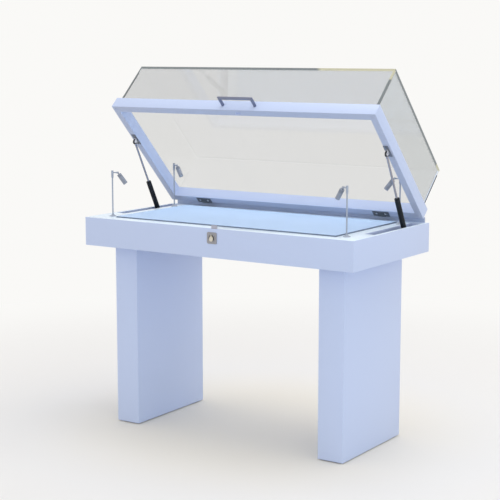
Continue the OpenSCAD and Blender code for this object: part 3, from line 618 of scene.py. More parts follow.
def glass_finish(name, colour, ior=1.45):
    """Clear glass with faint smears, whose shadow stays light: shadow rays pass through it."""
    if name in MADE:
        return MADE[name]
    MADE[name], tree, shader = new_material("case_" + name)
    set_inputs(tree, shader, {
        "Base Color": (*colour, 1), "Roughness": 0.0, "IOR": ior, "Transmission Weight": 1.0})
    place = add_node(tree, "TexCoord").outputs["Object"]
    smears = add_node(tree, "TexNoise", {"Vector": place, "Scale": 6.0, "Detail": 4.0})
    spread = add_node(tree, "MapRange", {
        "Value": smears.outputs["Fac"], "From Min": 0.45, "From Max": 0.8, "To Min": 0.0,
        "To Max": 0.02})
    set_inputs(tree, shader, {"Roughness": spread.outputs["Result"]})
    shadow = add_node(tree, "LightPath").outputs["Is Shadow Ray"]
    clear = add_node(tree, "BsdfTransparent", {"Color": (0.95, 0.95, 0.95, 1)}).outputs["BSDF"]
    set_inputs(tree, tree.nodes["Material Output"], {
        "Surface": mixed(tree, shadow, shader.outputs["BSDF"], clear)})
    return MADE[name]


def pane_glass(node):
    colour = [value * share for value, share in zip(colours().glass, PANE_PAINTED_LIGHT[node])]
    return glass_finish("pane_" + node, colour)


def clear_glass_edge():
    """The edges that aren't seen as lines, where light leaves the pane without turning."""
    return glass_finish("clear_glass_edge", (0.97, 0.98, 0.985), ior=1.01)


# Painted light: a pale blue edge for the right pane's rear edge and seam, standing in for the light
# seen along it
def glass_edge_painted_light():
    return finish("glass_edge_painted_light", (0.64, 0.73, 0.88), 0.25, shade=0.2, drift=5, grain=60,
                  bump=0.05, coat=0.5)


def dark_glass_edge(name, corner, stretch, reach):
    """Polished dark edge of a pane with a painted warm glint, a highlight that ends at a reach from
    a corner.
    """
    if name in MADE:
        return MADE[name]
    finish(name, colours().glass_edge, 0.12, shade=0.35, drift=5, grain=60, bump=0.05, coat=0.6)
    tree = MADE[name].node_tree
    shader = tree.nodes["Principled BSDF"]
    dark = shader.inputs["Base Color"].links[0].from_socket
    place = add_node(tree, "TexCoord").outputs["Object"]
    offset = add_node(tree, "VectorMath", {0: place, 1: corner}, operation="SUBTRACT")
    scaled = add_node(tree, "VectorMath", {0: offset.outputs["Vector"], 1: stretch},
                      operation="MULTIPLY")
    distance = add_node(tree, "VectorMath", {0: scaled.outputs["Vector"]}, operation="LENGTH")
    fade = add_node(tree, "MapRange", {
        "Value": distance.outputs["Value"], "From Min": reach * GLINT_FADE, "From Max": reach,
        "To Min": GLINT_SHARE, "To Max": 0.0})
    set_inputs(tree, shader, {
        "Base Color": blend(tree, fade.outputs["Result"], dark, (*GLINT, 1))})
    return MADE[name]


def front_glass_edge():
    low, high = hood_box("glass_top")
    corner = HOOD_OPEN @ Vector((high.x, low.y, high.z))
    return dark_glass_edge("front_glass_edge", corner, (1, 6, 6), 0.33)


def end_glass_edge():
    corner = HOOD_OPEN @ hood_box("glass_top")[1]
    return dark_glass_edge("end_glass_edge", corner, (1, 1, 1), 0.04)


def lens_glass():
    return finish("lens_glass", (0.70, 0.72, 0.74), 0.12, shade=0.1, drift=90, grain=900, bump=0.1,
                  coat=0.5)


# ---------------------------------------------------------------------------
# Values that a user would change


def size_property(name, description, usual, least, most):
    return bpy.props.FloatProperty(
        name=name, description=description, default=usual * MM, min=least * MM, max=most * MM,
        subtype="DISTANCE", unit="LENGTH")


def colour_property(name, description, default):
    return bpy.props.FloatVectorProperty(
        name=name, description=description, default=default, min=0, max=1, size=3, subtype="COLOR")


class CaseSizes(bpy.types.PropertyGroup):
    """Small sizes of the finish."""
    board_edge: size_property("Board edge", "Rounding of the lacquered edges", 1.2, 0.2, 4)
    arris: size_property(
        "Glass arris", "Ground chamfer along the edges of the panes", 0.6, 0.1, 1.5)
    metal_edge: size_property(
        "Metal edge", "Rounding of the edges of small metal pieces", 0.4, 0.1, 1)


class CaseColours(bpy.types.PropertyGroup):
    """Colours of the finishes."""
    lacquer: colour_property("Lacquer", "Table, legs and hood frame", (0.53, 0.615, 0.84))
    # Painted light: the rim colour is the lacquer made lighter on the rim's upper face
    rim: colour_property("Rim", "Upper face of the rim round the deck", (0.76, 0.88, 1.0))
    deck: colour_property("Deck", "Display deck", (0.52, 0.70, 0.97))
    glass: colour_property("Glass", "Tint of the panes", (0.80, 0.805, 0.81))
    glass_edge: colour_property("Glass edge", "Polished edges of the panes", (0.15, 0.175, 0.185))
    steel: colour_property("Steel", "Hinges and brackets", (0.55, 0.57, 0.62))
    handle: colour_property("Handle", "Pull handle", (0.22, 0.24, 0.33))
    tube: colour_property("Strut tube", "Pressure tubes", (0.010, 0.013, 0.018))
    lamp: colour_property("Lamps", "Feet, posts and arms of the lamps", (0.34, 0.385, 0.475))
    # The lamp head colour is partly painted shade: darker than the posts for the heads' shaded
    # sides
    lamp_head: colour_property("Lamp heads", "Shells of the lamp heads", (0.26, 0.29, 0.36))
    floor: colour_property("Floor", "Studio floor", (0.84, 0.825, 0.81))


def sizes():
    return bpy.context.scene.case_sizes


def board_edges(item):
    """Rounds the lacquered edges of a piece."""
    return bevelled(item, sizes().board_edge, 3, 40)


def metal_edges(item):
    """Rounds the edges of a small metal piece."""
    return bevelled(item, sizes().metal_edge)


# ---------------------------------------------------------------------------
# Stage

# The photograph's camera, solved in the frame of the case, in a square picture
CAMERA_PLACE = Vector((2.7842, -4.2771, 1.4782))
CAMERA_AZIMUTH = math.radians(33.63)
CAMERA_ELEVATION = math.radians(8.62)
PICTURE_SIDE = 500
FOCAL_PIXELS = 1322.5
SENSOR = 36.0
FARTHEST_SEEN = 200

BACKDROP = (0.955, 0.948, 0.93)
SKY = (0.985, 0.985, 0.985)
HORIZON_LIGHT = 1.12
ZENITH_LIGHT = 0.72

# Distances on the floor from the middle of the case, where its colours change
FLOOR_RADIUS = 60
# Painted shade: the floor is warmer near the case, standing in for the warm shade under and round
# it
WARM_PAINTED_SHADE = (0.87, 0.825, 0.735)
WARM_PAINTED_SHADE_START = 0.35
WARM_PAINTED_SHADE_END = 1.0
FLOOR_FADE_START = 1.05
FLOOR_FADE_END = 2.9

# Name, place, point aimed at, width, power and colour of each lamp
SOFT_LAMPS = (
    ("overhead", (0.6, 0.4, 4.2), (0, 0, 0.6), 3.0, 56, (1.0, 1.0, 1.0)),
    ("right_side", (3.4, -2.6, 0.9), (0, 0, 0.35), 1.6, 14, (0.62, 0.85, 1.0)),
)


def seen_rays(tree):
    """1 for rays that show the backdrop: straight, mirrored or through glass."""
    kind = add_node(tree, "LightPath").outputs
    seen = kind["Is Camera Ray"]
    for name in ("Is Glossy Ray", "Is Transmission Ray"):
        seen = add_node(tree, "Math", {0: seen, 1: kind[name]}, operation="MAXIMUM").outputs[0]
    return seen


def soft_step(tree, value, start, end):
    """0 up to a start, 1 from an end, with a smooth change between them."""
    return add_node(tree, "MapRange", {"Value": value, "From Min": start, "From Max": end},
                    interpolation_type="SMOOTHSTEP").outputs["Result"]


def make_floor():
    """A floor with a warm painted shade near the case, which fades into the backdrop."""
    deselect()
    bpy.ops.mesh.primitive_circle_add(vertices=96, radius=FLOOR_RADIUS, fill_type="NGON")
    floor = settle()
    floor.name = "studio_floor"
    material, tree, shader = new_material("studio_floor")
    place = add_node(tree, "TexCoord").outputs["Object"]
    distance = add_node(tree, "VectorMath", {0: place}, operation="LENGTH").outputs["Value"]
    # Where the warm painted shade round the case gives way to the floor colour
    near = soft_step(tree, distance, WARM_PAINTED_SHADE_START, WARM_PAINTED_SHADE_END)
    colour = blend(tree, near, (*WARM_PAINTED_SHADE, 1), (*colours().floor, 1))
    set_inputs(tree, shader, {
        "Base Color": colour, "Roughness": 0.7, "Specular IOR Level": 0.1})
    fade = soft_step(tree, distance, FLOOR_FADE_START, FLOOR_FADE_END)
    share = add_node(tree, "Math", {0: fade, 1: seen_rays(tree)}, operation="MULTIPLY").outputs[0]
    glow = add_node(tree, "Emission", {"Color": (*BACKDROP, 1)}).outputs["Emission"]
    set_inputs(tree, tree.nodes["Material Output"], {
        "Surface": mixed(tree, share, shader.outputs["BSDF"], glow)})
    floor.data.materials.append(material)


def make_world():
    """Soft light that is stronger near the horizon, behind a plain backdrop."""
    world = bpy.data.worlds.new("studio")
    bpy.context.scene.world = world
    world.use_nodes = True
    tree = world.node_tree
    tree.nodes.clear()
    ray = add_node(tree, "TexCoord").outputs["Generated"]
    dimmer = add_node(tree, "MapRange", {
        "Value": add_node(tree, "SeparateXYZ", {"Vector": ray}).outputs["Z"],
        "To Min": HORIZON_LIGHT, "To Max": ZENITH_LIGHT})
    light = add_node(tree, "Background", {
        "Color": (*SKY, 1), "Strength": dimmer.outputs["Result"]})
    plain = add_node(tree, "Background", {"Color": (*BACKDROP, 1), "Strength": 1.0})
    add_node(tree, "OutputWorld", {
        "Surface": mixed(tree, seen_rays(tree), light.outputs[0], plain.outputs[0])})


def make_lamps():
    for name, place, aim, width, power, colour in SOFT_LAMPS:
        deselect()
        bpy.ops.object.light_add(type="AREA", location=place)
        lamp = bpy.context.object
        lamp.name = name
        lamp.data.shape = "SQUARE"
        lamp.data.size = width
        lamp.data.energy = power
        lamp.data.color = colour
        towards = Vector(aim) - Vector(place)
        lamp.rotation_euler = towards.to_track_quat("-Z", "Y").to_euler()


def make_camera():
    deselect()
    bpy.ops.object.camera_add(location=CAMERA_PLACE)
    camera = bpy.context.object
    level = math.cos(CAMERA_ELEVATION)
    aim = Vector((-math.sin(CAMERA_AZIMUTH) * level, math.cos(CAMERA_AZIMUTH) * level,
                  -math.sin(CAMERA_ELEVATION)))
    camera.rotation_euler = aim.to_track_quat("-Z", "Y").to_euler()
    camera.data.sensor_width = SENSOR
    camera.data.lens = FOCAL_PIXELS / PICTURE_SIDE * SENSOR
    camera.data.clip_end = FARTHEST_SEEN
    bpy.context.scene.camera = camera
    bpy.context.scene.view_settings.view_transform = "Standard"


class CASE_OT_stage(bpy.types.Operator):
    """Makes the floor, the soft light and the camera"""
    bl_idname = "case.stage"
    bl_label = "Stage"

    def execute(self, context):
        make_floor()
        make_world()
        make_lamps()
        make_camera()
        return {"FINISHED"}


# ---------------------------------------------------------------------------
# Table: tray, deck and legs

STRIKE_ROOM = Vector((0.3 * MM, MM, 0))  # space round the strike plate in the rim
STRIKE_TAB = 5 * MM  # the tab is thinner than this
STRIKE_SCREW_R = 3 * MM
STRIKE_SCREW_SIDE = 6 * MM  # from the plate's right edge to its screws
STRIKE_SCREW_END = 8 * MM  # from its ends
DECK_BORDER = 3 * MM
DECK_STEP = 0.25 * MM  # the field lies this much lower than the border
DECK_EDGE = 0.5 * MM


def make_tray():
    apron_low, apron_high = node_box("front_apron")
    back = node_box("rear_apron")[1].y
    rim_low, rim_high = node_box("right_rim")
    board = apron_high.y - apron_low.y
    shell = block(apron_low, (apron_high.x, back, rim_high.z))
    hollow = block((apron_low.x + board, apron_low.y + board, apron_low.z - MM),
                   (apron_high.x - board, back - board, rim_low.z))
    opening = block((-rim_low.x, node_box("front_rim")[1].y, rim_low.z - MM),
                    (rim_low.x, node_box("rear_rim")[0].y, rim_high.z + MM))
    slot = cutter(*strut_slot())
    hook_low, hook_high = hook_way()
    way = block((hook_low.x, hook_low.y, rim_low.z - MM), (hook_high.x, hook_high.y, rim_high.z))
    strike_low, strike_high = node_box("strike_plate")
    recess = cutter(strike_low - STRIKE_ROOM, strike_high + STRIKE_ROOM, 0)
    carve(shell, hollow, opening, mirrored(slot), slot, way, recess)
    piece(board_edges(shell), "tray_shell", "table", lacquer(), (
        "front_apron", "rear_apron", "left_apron", "right_apron",
        "front_rim", "rear_rim", "left_rim", "right_rim"))
    # Painted light on the rim's upper faces, which take the lighter copy of the lacquer
    second_finish(shell, rim_top_painted_light(), lambda face: (
        face.normal.z > 0.9 and face.center.z > rim_high.z - MM))


def strut_slot():
    """Corners of the right strut slot, from the inner points of the rim board."""
    low, high = node_box("right_rim")
    inner = cad_points("right_rim", keep=lambda p: (
        low.x + MM < p.x < high.x - MM and low.y + MM < p.y < high.y - MM))
    outer_x = max(p.x for p in inner)
    ends = [p.y for p in inner if outer_x - p.x < HAIR]
    near_x = min(p.x for p in inner if abs(p.y - min(ends)) < HAIR)
    return Vector((near_x, min(ends), low.z)), Vector((outer_x, max(ends), high.z))


def strike_slot():
    """Corners of the slot in the strike plate, which lies well behind its tab."""
    low, high = node_box("strike_plate")
    return node_box("strike_plate", lambda p: low.y + STRIKE_TAB < p.y < high.y - MM)


def hook_way():
    """Corners of the hook's way through the rim, under the slot in the strike plate."""
    low, high = strike_slot()
    return node_box("front_rim", lambda p: low.y - HAIR < p.y < high.y + HAIR)


def make_strike():
    low, high = node_box("strike_plate")
    tab_back = node_box("strike_plate", lambda p: p.z > high.z - HAIR)[1].y
    level = node_box("front_rim")[1].z
    plate = carve(block(low, (high.x, high.y, level)), cutter(*strike_slot()))
    tab = block((low.x, low.y, level - MM), (high.x, tab_back, high.z))
    for part in (plate, tab):
        bevelled(part, sizes().metal_edge / 2)
    heads = []
    for y in (low.y + STRIKE_SCREW_END, high.y - STRIKE_SCREW_END):
        place = Matrix.Translation((high.x - STRIKE_SCREW_SIDE, y, level))
        heads.append(screw_head(place, 0.1 * MM, STRIKE_SCREW_R))
    face_plate = joined([plate, tab])
    piece(face_plate, "strike_plate_face", "table", strike_steel(),
          ("strike_plate",))
    # Painted light on the plate's upper faces, below the tab, at the level of the rim
    second_finish(face_plate, strike_top_painted_light(), lambda face: (
        face.normal.z > 0.9 and face.center.z < level + HAIR))
    piece(joined(heads), "strike_plate_screws", "table", zinc_steel())


def make_upstand():
    # The rear upstand takes painted shade, a darker copy of the lacquer
    strip = board_edges(block(*node_box("rear_upstand")))
    piece(strip, "rear_upstand_strip", "table", upstand_painted_shade(), ("rear_upstand",))


def make_deck():
    deck = block(*node_box("display_deck"))
    with editing(deck):
        pick_faces(deck, lambda face: face.normal.dot(UP) > 0.99)
        bpy.ops.mesh.inset(thickness=DECK_BORDER)
        bpy.ops.mesh.extrude_region_move(TRANSFORM_OT_translate={"value": (0, 0, -DECK_STEP)})
    bevelled(deck, DECK_EDGE, 2, 25)
    piece(deck, "deck_board", "table", deck_lacquer(), ("display_deck",))
    # Painted shade on the deck's side faces, for the shadow in the gap round it
    second_finish(deck, deck_edge_painted_shade(), lambda face: abs(face.normal.z) < 0.5)


def make_legs():
    legs = []
    for side in (-1, 1):
        this_side = lambda point: point.x * side > 0
        low, high = node_box("leg_side_boards", this_side)
        inner_low, inner_high = node_box("leg_blocks", this_side)
        bore = block((inner_low.x, inner_low.y, low.z - MM),
                     (inner_high.x, inner_high.y, high.z + MM))
        legs.append(board_edges(carve(block(low, high), bore)))
    piece(joined(legs), "leg_boxes", "table", lacquer(),
          ("leg_side_boards", "leg_end_boards"))


class CASE_OT_tray(bpy.types.Operator):
    """Makes the tray as one lacquered shell, the strike plate in its rim and the rear upstand"""
    bl_idname = "case.tray"
    bl_label = "Tray"

    def execute(self, context):
        make_tray()
        make_strike()
        make_upstand()
        return {"FINISHED"}


class CASE_OT_deck(bpy.types.Operator):
    """Makes the display deck"""
    bl_idname = "case.deck"
    bl_label = "Deck"

    def execute(self, context):
        make_deck()
        return {"FINISHED"}


class CASE_OT_legs(bpy.types.Operator):
    """Makes the two boxed legs"""
    bl_idname = "case.legs"
    bl_label = "Legs"

    def execute(self, context):
        make_legs()
        return {"FINISHED"}


# ---------------------------------------------------------------------------
# Hood: frame and panes, built with the hood shut


def make_hood_frame():
    front_low, front_high = hood_box("frame_front_rail")
    rear_low, rear_high = hood_box("frame_rear_rail")
    side_low = hood_box("frame_right_rail")[0]
    ring = block(front_low, rear_high)
    middle = block((-side_low.x, front_high.y, front_low.z - MM),
                   (side_low.x, rear_low.y, front_high.z + MM))
    channel_low, channel_high = hood_box("glazing_channel")
    pane_low, pane_high = hood_box("glass_front")
    wall = pane_low.y - channel_low.y
    reach = Vector((1, 1, 0)) * (pane_high.y - pane_low.y + 2 * wall)
    groove = carve(cutter(channel_low, channel_high, 0),
                   cutter(channel_low + reach, channel_high - reach, MM, 2 * MM))
    pocket = cutter(*hook_pocket(), MM, 0)
    carve(ring, middle, groove, pocket)
    piece(moved(board_edges(ring), HOOD_OPEN), "hood_frame", "hood", lacquer(), (
        "frame_front_rail", "frame_rear_rail", "frame_left_rail", "frame_right_rail"))
    # Painted shade on the frame's downward faces, which take the darker copy of the lacquer
    underneath = -(HOOD_OPEN.to_3x3() @ UP)
    second_finish(ring, underside_painted_shade(), lambda face: face.normal.dot(underneath) > 0.9)


def hook_pocket():
    """Corners of the pocket for the hook under the front rail."""
    low, high = hood_box("frame_front_rail")
    reach = hood_box("pull_handle")[1].x + MM
    mouth_low, mouth_high = hood_box("frame_front_rail", lambda p: (
        low.y + 2 * MM < p.y < high.y - MM and abs(p.x) < reach and p.z < low.z + HAIR))
    over_mouth = hood_box("frame_front_rail", lambda p: (
        mouth_low.x - HAIR < p.x < mouth_high.x + HAIR
        and mouth_low.y - HAIR < p.y < mouth_high.y + HAIR))
    return mouth_low, Vector((mouth_high.x, mouth_high.y, over_mouth[1].z))


PANES = ("glass_top", "glass_front", "glass_rear", "glass_left", "glass_right")
GLUE_LINE = 0.15 * MM
# Width of the bands painted on a pane's outer face along its seams
SEAM_WIDTH = 7 * MM
FRONT_DARK, END_DARK, PALE, CLEAR = 1, 2, 3, 4  # places of the edge finishes on a pane
# Bonded seams seen as lines on the outside of a pane, as bands on its outer face: the dark ones
# partly the glass's own dark edges and partly painted shade, the pale one painted light; axis, way
# and finish of each
SEAMS = {
    "glass_front": ((0, -1, FRONT_DARK), (0, 1, FRONT_DARK), (2, 1, FRONT_DARK)),
    "glass_right": ((2, 1, END_DARK), (1, 1, PALE)),
}
OUTSIDE = {"glass_front": Vector((0, -1, 0)), "glass_right": Vector((1, 0, 0))}


def make_panes():
    for node in PANES:
        low, high = hood_box(node)
        if node != "glass_top":
            high.z -= GLUE_LINE
        size = high - low
        thin = min(range(3), key=lambda axis: size[axis])
        pane = bevelled(block(low, high), sizes().arris, 1)
        seams = SEAMS.get(node, ())
        with editing(pane):
            for axis, way, _ in seams:
                place = Vector(high if way > 0 else low)
                place[axis] -= way * SEAM_WIDTH
                normal = Vector([i == axis for i in range(3)])
                bpy.ops.mesh.select_all(action="SELECT")
                bpy.ops.mesh.bisect(plane_co=place, plane_no=normal)
        piece(pane, node.replace("glass", "pane"), "hood", pane_glass(node), (node,))
        for edge in (front_glass_edge(), end_glass_edge(), glass_edge_painted_light(), clear_glass_edge()):
            pane.data.materials.append(edge)
        for face in pane.data.polygons:
            face.use_smooth = False
            face.material_index = edge_index(node, face, thin, low, high, seams)
        moved(pane, HOOD_OPEN)


def edge_index(node, face, thin, low, high, seams):
    """Place of a face's finish: dark lines, partly the glass's own dark edges and partly painted
    shade, and pale lines of painted light, where the photograph shows them.
    """
    if node in OUTSIDE and face.normal.dot(OUTSIDE[node]) > 0.9:
        for axis, way, index in seams:
            edge = high[axis] if way > 0 else low[axis]
            if abs(edge - face.center[axis]) < SEAM_WIDTH:
                return index
        return 0
    if abs(face.normal[thin]) > 0.9:
        return 0
    away = face.normal.copy()
    away[thin] = 0
    if node == "glass_front" and abs(away.x) > 0.5 or node == "glass_top" and away.y < -0.5:
        return FRONT_DARK
    if node == "glass_top" and away.x > 0.5:
        return END_DARK
    return PALE if node == "glass_right" and away.y > 0.5 else CLEAR


class CASE_OT_hood_frame(bpy.types.Operator):
    """Makes the mitred frame of the hood with its glazing groove"""
    bl_idname = "case.hood_frame"
    bl_label = "Hood frame"

    def execute(self, context):
        make_hood_frame()
        return {"FINISHED"}


class CASE_OT_panes(bpy.types.Operator):
    """Makes the five panes with ground arrises and polished edges"""
    bl_idname = "case.panes"
    bl_label = "Panes"

    def execute(self, context):
        make_panes()
        return {"FINISHED"}


# ---------------------------------------------------------------------------
# Hood: handle, hinges and brackets, built with the hood shut

LEAF_MARGIN = 10 * MM  # the notch of a fixed leaf keeps this clear of its ends
LEAF_LOWER = 60 * MM  # and starts higher than this above its foot
PLATE_T = 2 * MM
EAR_T = 2 * MM
EAR_FLARE = 1.7  # the ears' foot, as a share of their round end
EAR_STEPS = 16
CLEVIS_FOOT_T = 1.6 * MM


def make_handle():
    low, high = hood_box("pull_handle")
    radius = (high.z - low.z) / 2
    level = (high.z + low.z) / 2
    front = hood_box("frame_front_rail")[0].y
    grip_y = low.y + radius
    parts = [rod(radius, Vector((low.x, grip_y, level)), Vector((high.x, grip_y, level)))]
    for x, way in ((low.x + radius, -1), (high.x - radius, 1)):
        corner = Vector((x, grip_y, level))
        slant = Vector((way, 1, 0)).normalized()
        cut_off(parts[0], corner, slant)
        foot = rod(radius, Vector((x, low.y, level)), Vector((x, front, level)))
        cut_off(foot, corner, -slant)
        parts.append(foot)
    bar = joined([metal_edges(part) for part in parts])
    piece(moved(bar, HOOD_OPEN), "handle_bar", "hood", handle_steel(),
          ("pull_handle",))


def make_hinges():
    frame_low, frame_high = hood_box("frame_rear_rail")
    low, high = hood_box("hinge_lid_leaves", on_the_right)
    strap_t = frame_low.z - low.z
    hinge = HOOD_SHUT @ HINGE
    knuckle_low, knuckle_high = hood_box(
        "hinge_lid_leaves", lambda p: on_the_right(p) and p.z > hinge.z + MM)
    strap = block(low, (high.x, frame_high.y, frame_low.z - HAIR))
    web = block((knuckle_low.x, frame_high.y + HAIR, low.z),
                (knuckle_high.x, frame_high.y + strap_t, hinge.z))
    barrel = rod(high.y - hinge.y, Vector((knuckle_low.x, hinge.y, hinge.z)),
                 Vector((knuckle_high.x, hinge.y, hinge.z)))
    seats, heads = hood_screws(low.z, 0.3 * MM, 2.2)
    for part in (strap, web, barrel):
        metal_edges(part)
    carve(strap, *seats)
    leaves = both_sides([strap, web, barrel])
    heads = both_sides(heads)
    piece(moved(leaves, HOOD_OPEN), "hinge_straps", "hood", dark_steel(),
          ("hinge_lid_leaves",))
    piece(moved(heads, HOOD_OPEN), "strap_screw_heads", "hood", bright_steel())


def make_case_leaves():
    low, high = node_box("hinge_case_leaves", on_the_right)
    back = node_box("rear_apron")[1].y
    foot = node_box("hinge_case_leaves", lambda p: on_the_right(p) and p.z < low.z + HAIR)
    outer = foot[1].y
    notch_low, notch_high = node_box("hinge_case_leaves", lambda p: (
        low.x + LEAF_MARGIN < p.x < high.x - LEAF_MARGIN and p.z > low.z + LEAF_LOWER))
    radius = high.y - HINGE.y
    plate = block((low.x, back + HAIR, low.z), (high.x, outer, HINGE.z))
    carve(plate, block((notch_low.x, back - MM, HINGE.z - radius - 2 * MM),
                       (notch_high.x, high.y, high.z + MM)))
    parts = [metal_edges(plate)]
    for start, end in ((low.x, notch_low.x), (notch_high.x, high.x)):
        barrel = rod(radius, Vector((start, HINGE.y, HINGE.z)), Vector((end, HINGE.y, HINGE.z)))
        parts.append(metal_edges(barrel))
    piece(both_sides(parts), "hinge_case_plates", "table", satin_steel(),
          ("hinge_case_leaves",))
    facing_back = Matrix.Rotation(-math.pi / 2, 4, "X")
    screws = cad_points("case_screws", keep=lambda p: abs(p.y - outer) < HAIR)
    heads = [screw_head(Matrix.Translation(centre) @ facing_back, 0.3 * MM)
             for centre in middles(screws)]
    piece(joined(heads), "case_plate_screw_heads", "table", zinc_steel())


def clevis_parts(low, high, level):
    """Two ears and their foot, round end down at low, hanging from a level."""
    radius = (high.y - low.y) / 2
    centre_y = (high.y + low.y) / 2
    drop = level - (low.z + radius)
    outline = arc(radius, math.pi, math.pi, EAR_STEPS)
    outline += [(radius * EAR_FLARE, drop), (-radius * EAR_FLARE, drop)]
    upright = Matrix.Rotation(math.pi / 2, 4, "Z") @ Matrix.Rotation(math.pi / 2, 4, "X")
    parts = []
    for x in (low.x, high.x - EAR_T):
        place = Matrix.Translation((x, centre_y, low.z + radius)) @ upright
        parts.append(metal_edges(moved(drawn_out(outline, EAR_T), place)))
    foot = block((low.x, centre_y - radius * EAR_FLARE, level - CLEVIS_FOOT_T),
                 (high.x, centre_y + radius * EAR_FLARE, level + HAIR))
    return parts + [metal_edges(foot)]


def make_upper_brackets():
    low, high = hood_box("strut_upper_brackets", on_the_right)
    frame_low = hood_box("frame_right_rail")[0].z
    level = frame_low - PLATE_T
    plate = block((low.x, low.y, level), (high.x, high.y, frame_low - HAIR))
    clevis = clevis_parts(*hood_box("strut_upper_brackets", lambda p: (
        on_the_right(p) and p.z < level - PLATE_T)), level)
    seats, heads = hood_screws(level, 0.9 * MM, 1.7)
    carve(metal_edges(plate), *seats)
    clevis = joined(clevis)
    plates, clevises, heads = both_sides([plate]), both_sides([clevis]), both_sides(heads)
    piece(moved(plates, HOOD_OPEN), "bracket_plates", "hood", grey_steel(),
          ("strut_upper_brackets",))
    piece(moved(clevises, HOOD_OPEN), "bracket_clevises", "hood", pale_steel())
    piece(moved(heads, HOOD_OPEN), "bracket_screw_heads", "hood", grey_steel(),
          ("lid_screws",))


def make_strut_pins():
    low, high = hood_box("strut_pins", on_the_right)
    half = (high.x - low.x) / 2
    pin = turned(profile((3.4, 0), (4, 0.5), (4, 1), (3, 1), base=-half)
                 + profile((3, -1), (4, -1), (4, -0.5), (3.4, 0), base=half))
    pin = smoothed(moved(pin, Matrix.Translation((low + high) / 2) @ ALONG_X), 30)
    piece(moved(both_sides([pin]), HOOD_OPEN), "strut_pin_rods", "hood",
          bright_steel(), ("strut_pins",))


class CASE_OT_handle(bpy.types.Operator):
    """Makes the mitred round bar of the handle"""
    bl_idname = "case.handle"
    bl_label = "Handle"

    def execute(self, context):
        make_handle()
        return {"FINISHED"}


class CASE_OT_hinges(bpy.types.Operator):
    """Makes the hinge straps, the fixed leaves and their screw heads"""
    bl_idname = "case.hinges"
    bl_label = "Hinges"

    def execute(self, context):
        make_hinges()
        make_case_leaves()
        return {"FINISHED"}


class CASE_OT_brackets(bpy.types.Operator):
    """Makes the upper strut brackets, their pins and screw heads"""
    bl_idname = "case.brackets"
    bl_label = "Strut brackets"

    def execute(self, context):
        make_upper_brackets()
        make_strut_pins()
        return {"FINISHED"}


# ---------------------------------------------------------------------------
# Gas struts

TUBE_EYE_R = 7 * MM
TUBE_EYE_T = 10 * MM
ROD_EYE_R = 10.2 * MM
ROD_EYE_T = 5 * MM
EYE_BORE_R = 3.05 * MM


def ring_eye(radius, width, place):
    """A bored eye across the strut, at a distance along it."""
    half = Vector((width / 2, 0, 0))
    centre = Vector((0, 0, place))
    eye = bevelled(rod(radius, centre - half, centre + half), 0.5 * MM)
    return carve(eye, rod(EYE_BORE_R, centre - 2 * half, centre + 2 * half))


def make_strut(side):
    top = Vector(JOINTS[side + "_rod_pivot"]["pos_m"])
    down = -Vector(JOINTS[side + "_strut_slide"]["axis"]).normalized()
    along = Matrix.Translation(top) @ down.to_track_quat("Z", "Y").to_matrix().to_4x4()
    tube = [(p - top).dot(down) for p in cad_points(side + "_strut_tube")]
    rod_end = max((p - top).dot(down) for p in cad_points(side + "_strut_rod"))
    mouth = min(tube)
    foot = max(tube) - TUBE_EYE_R
    low, high = node_box(side + "_strut_tube")
    r = (high - low).x / 2 / MM
    body = turned(profile(
        (4.3, 2), (4.3, 0), (r - 1.1, 0), (r - 0.3, 0.4), (r, 1.2), (r, 9), (r - 0.4, 9.8),
        (r - 0.4, 11), (r, 11.8), base=mouth) + profile(
        (r, -17), (r - 0.4, -15.2), (r - 1.4, -14), (4.4, -14), (4.4, -4), base=foot))
    whole = joined([body, ring_eye(TUBE_EYE_R, TUBE_EYE_T, foot)])
    piece(smoothed(moved(whole, along)), side + "_pressure_tube", side + "_tube",
          tube_black(), (side + "_strut_tube",))
    stem = turned(profile(
        (2.4, 4), (2.4, 8), (4.5, 8), (5, 8.5), (5, 15.5), (4.6, 16), (4, 16.4))
        + [(4 * MM, rod_end - HAIR)])
    piece(smoothed(moved(stem, along)), side + "_piston_rod", side + "_rod",
          rod_steel(), (side + "_strut_rod",))
    piece(moved(ring_eye(ROD_EYE_R, ROD_EYE_T, 0), along), side + "_rod_eye", side + "_rod",
          black_plastic())


class CASE_OT_struts(bpy.types.Operator):
    """Makes the two gas struts"""
    bl_idname = "case.struts"
    bl_label = "Gas struts"

    def execute(self, context):
        for side in ("left", "right"):
            make_strut(side)
        return {"FINISHED"}


# ---------------------------------------------------------------------------
# Lamps

CORNERS = ("front_left", "front_right", "rear_left", "rear_right")
POST_R = 2.75
ARM_R = 2.5 * MM
ARM_END = 6.5 * MM  # from the end of the arm to the tilt pin
FORK_L = 7 * MM  # from the back of the fork to the tilt pin
FORK_R = 4 * MM
FORK_EAR_T = 1.6 * MM
FORK_HALF_GAP = 1.1 * MM
FORK_HALF_W = 2.6 * MM
FORK_WEB_T = 1.8 * MM
HEAD_TILT = math.radians(53)
FINS = 4
FIN_START = 11
FIN_PITCH = 2.4
TONGUE_HALF_T = 0.8 * MM
TONGUE_R = 3.5 * MM


def foot_flare(steps=10):
    """The hollow curve of a lamp's foot."""
    shares = [step / steps for step in range(1, steps + 1)]
    return [(4.2 + 9.4 * (1 - share) ** 2.4, 1.5 + 8 * share) for share in shares]


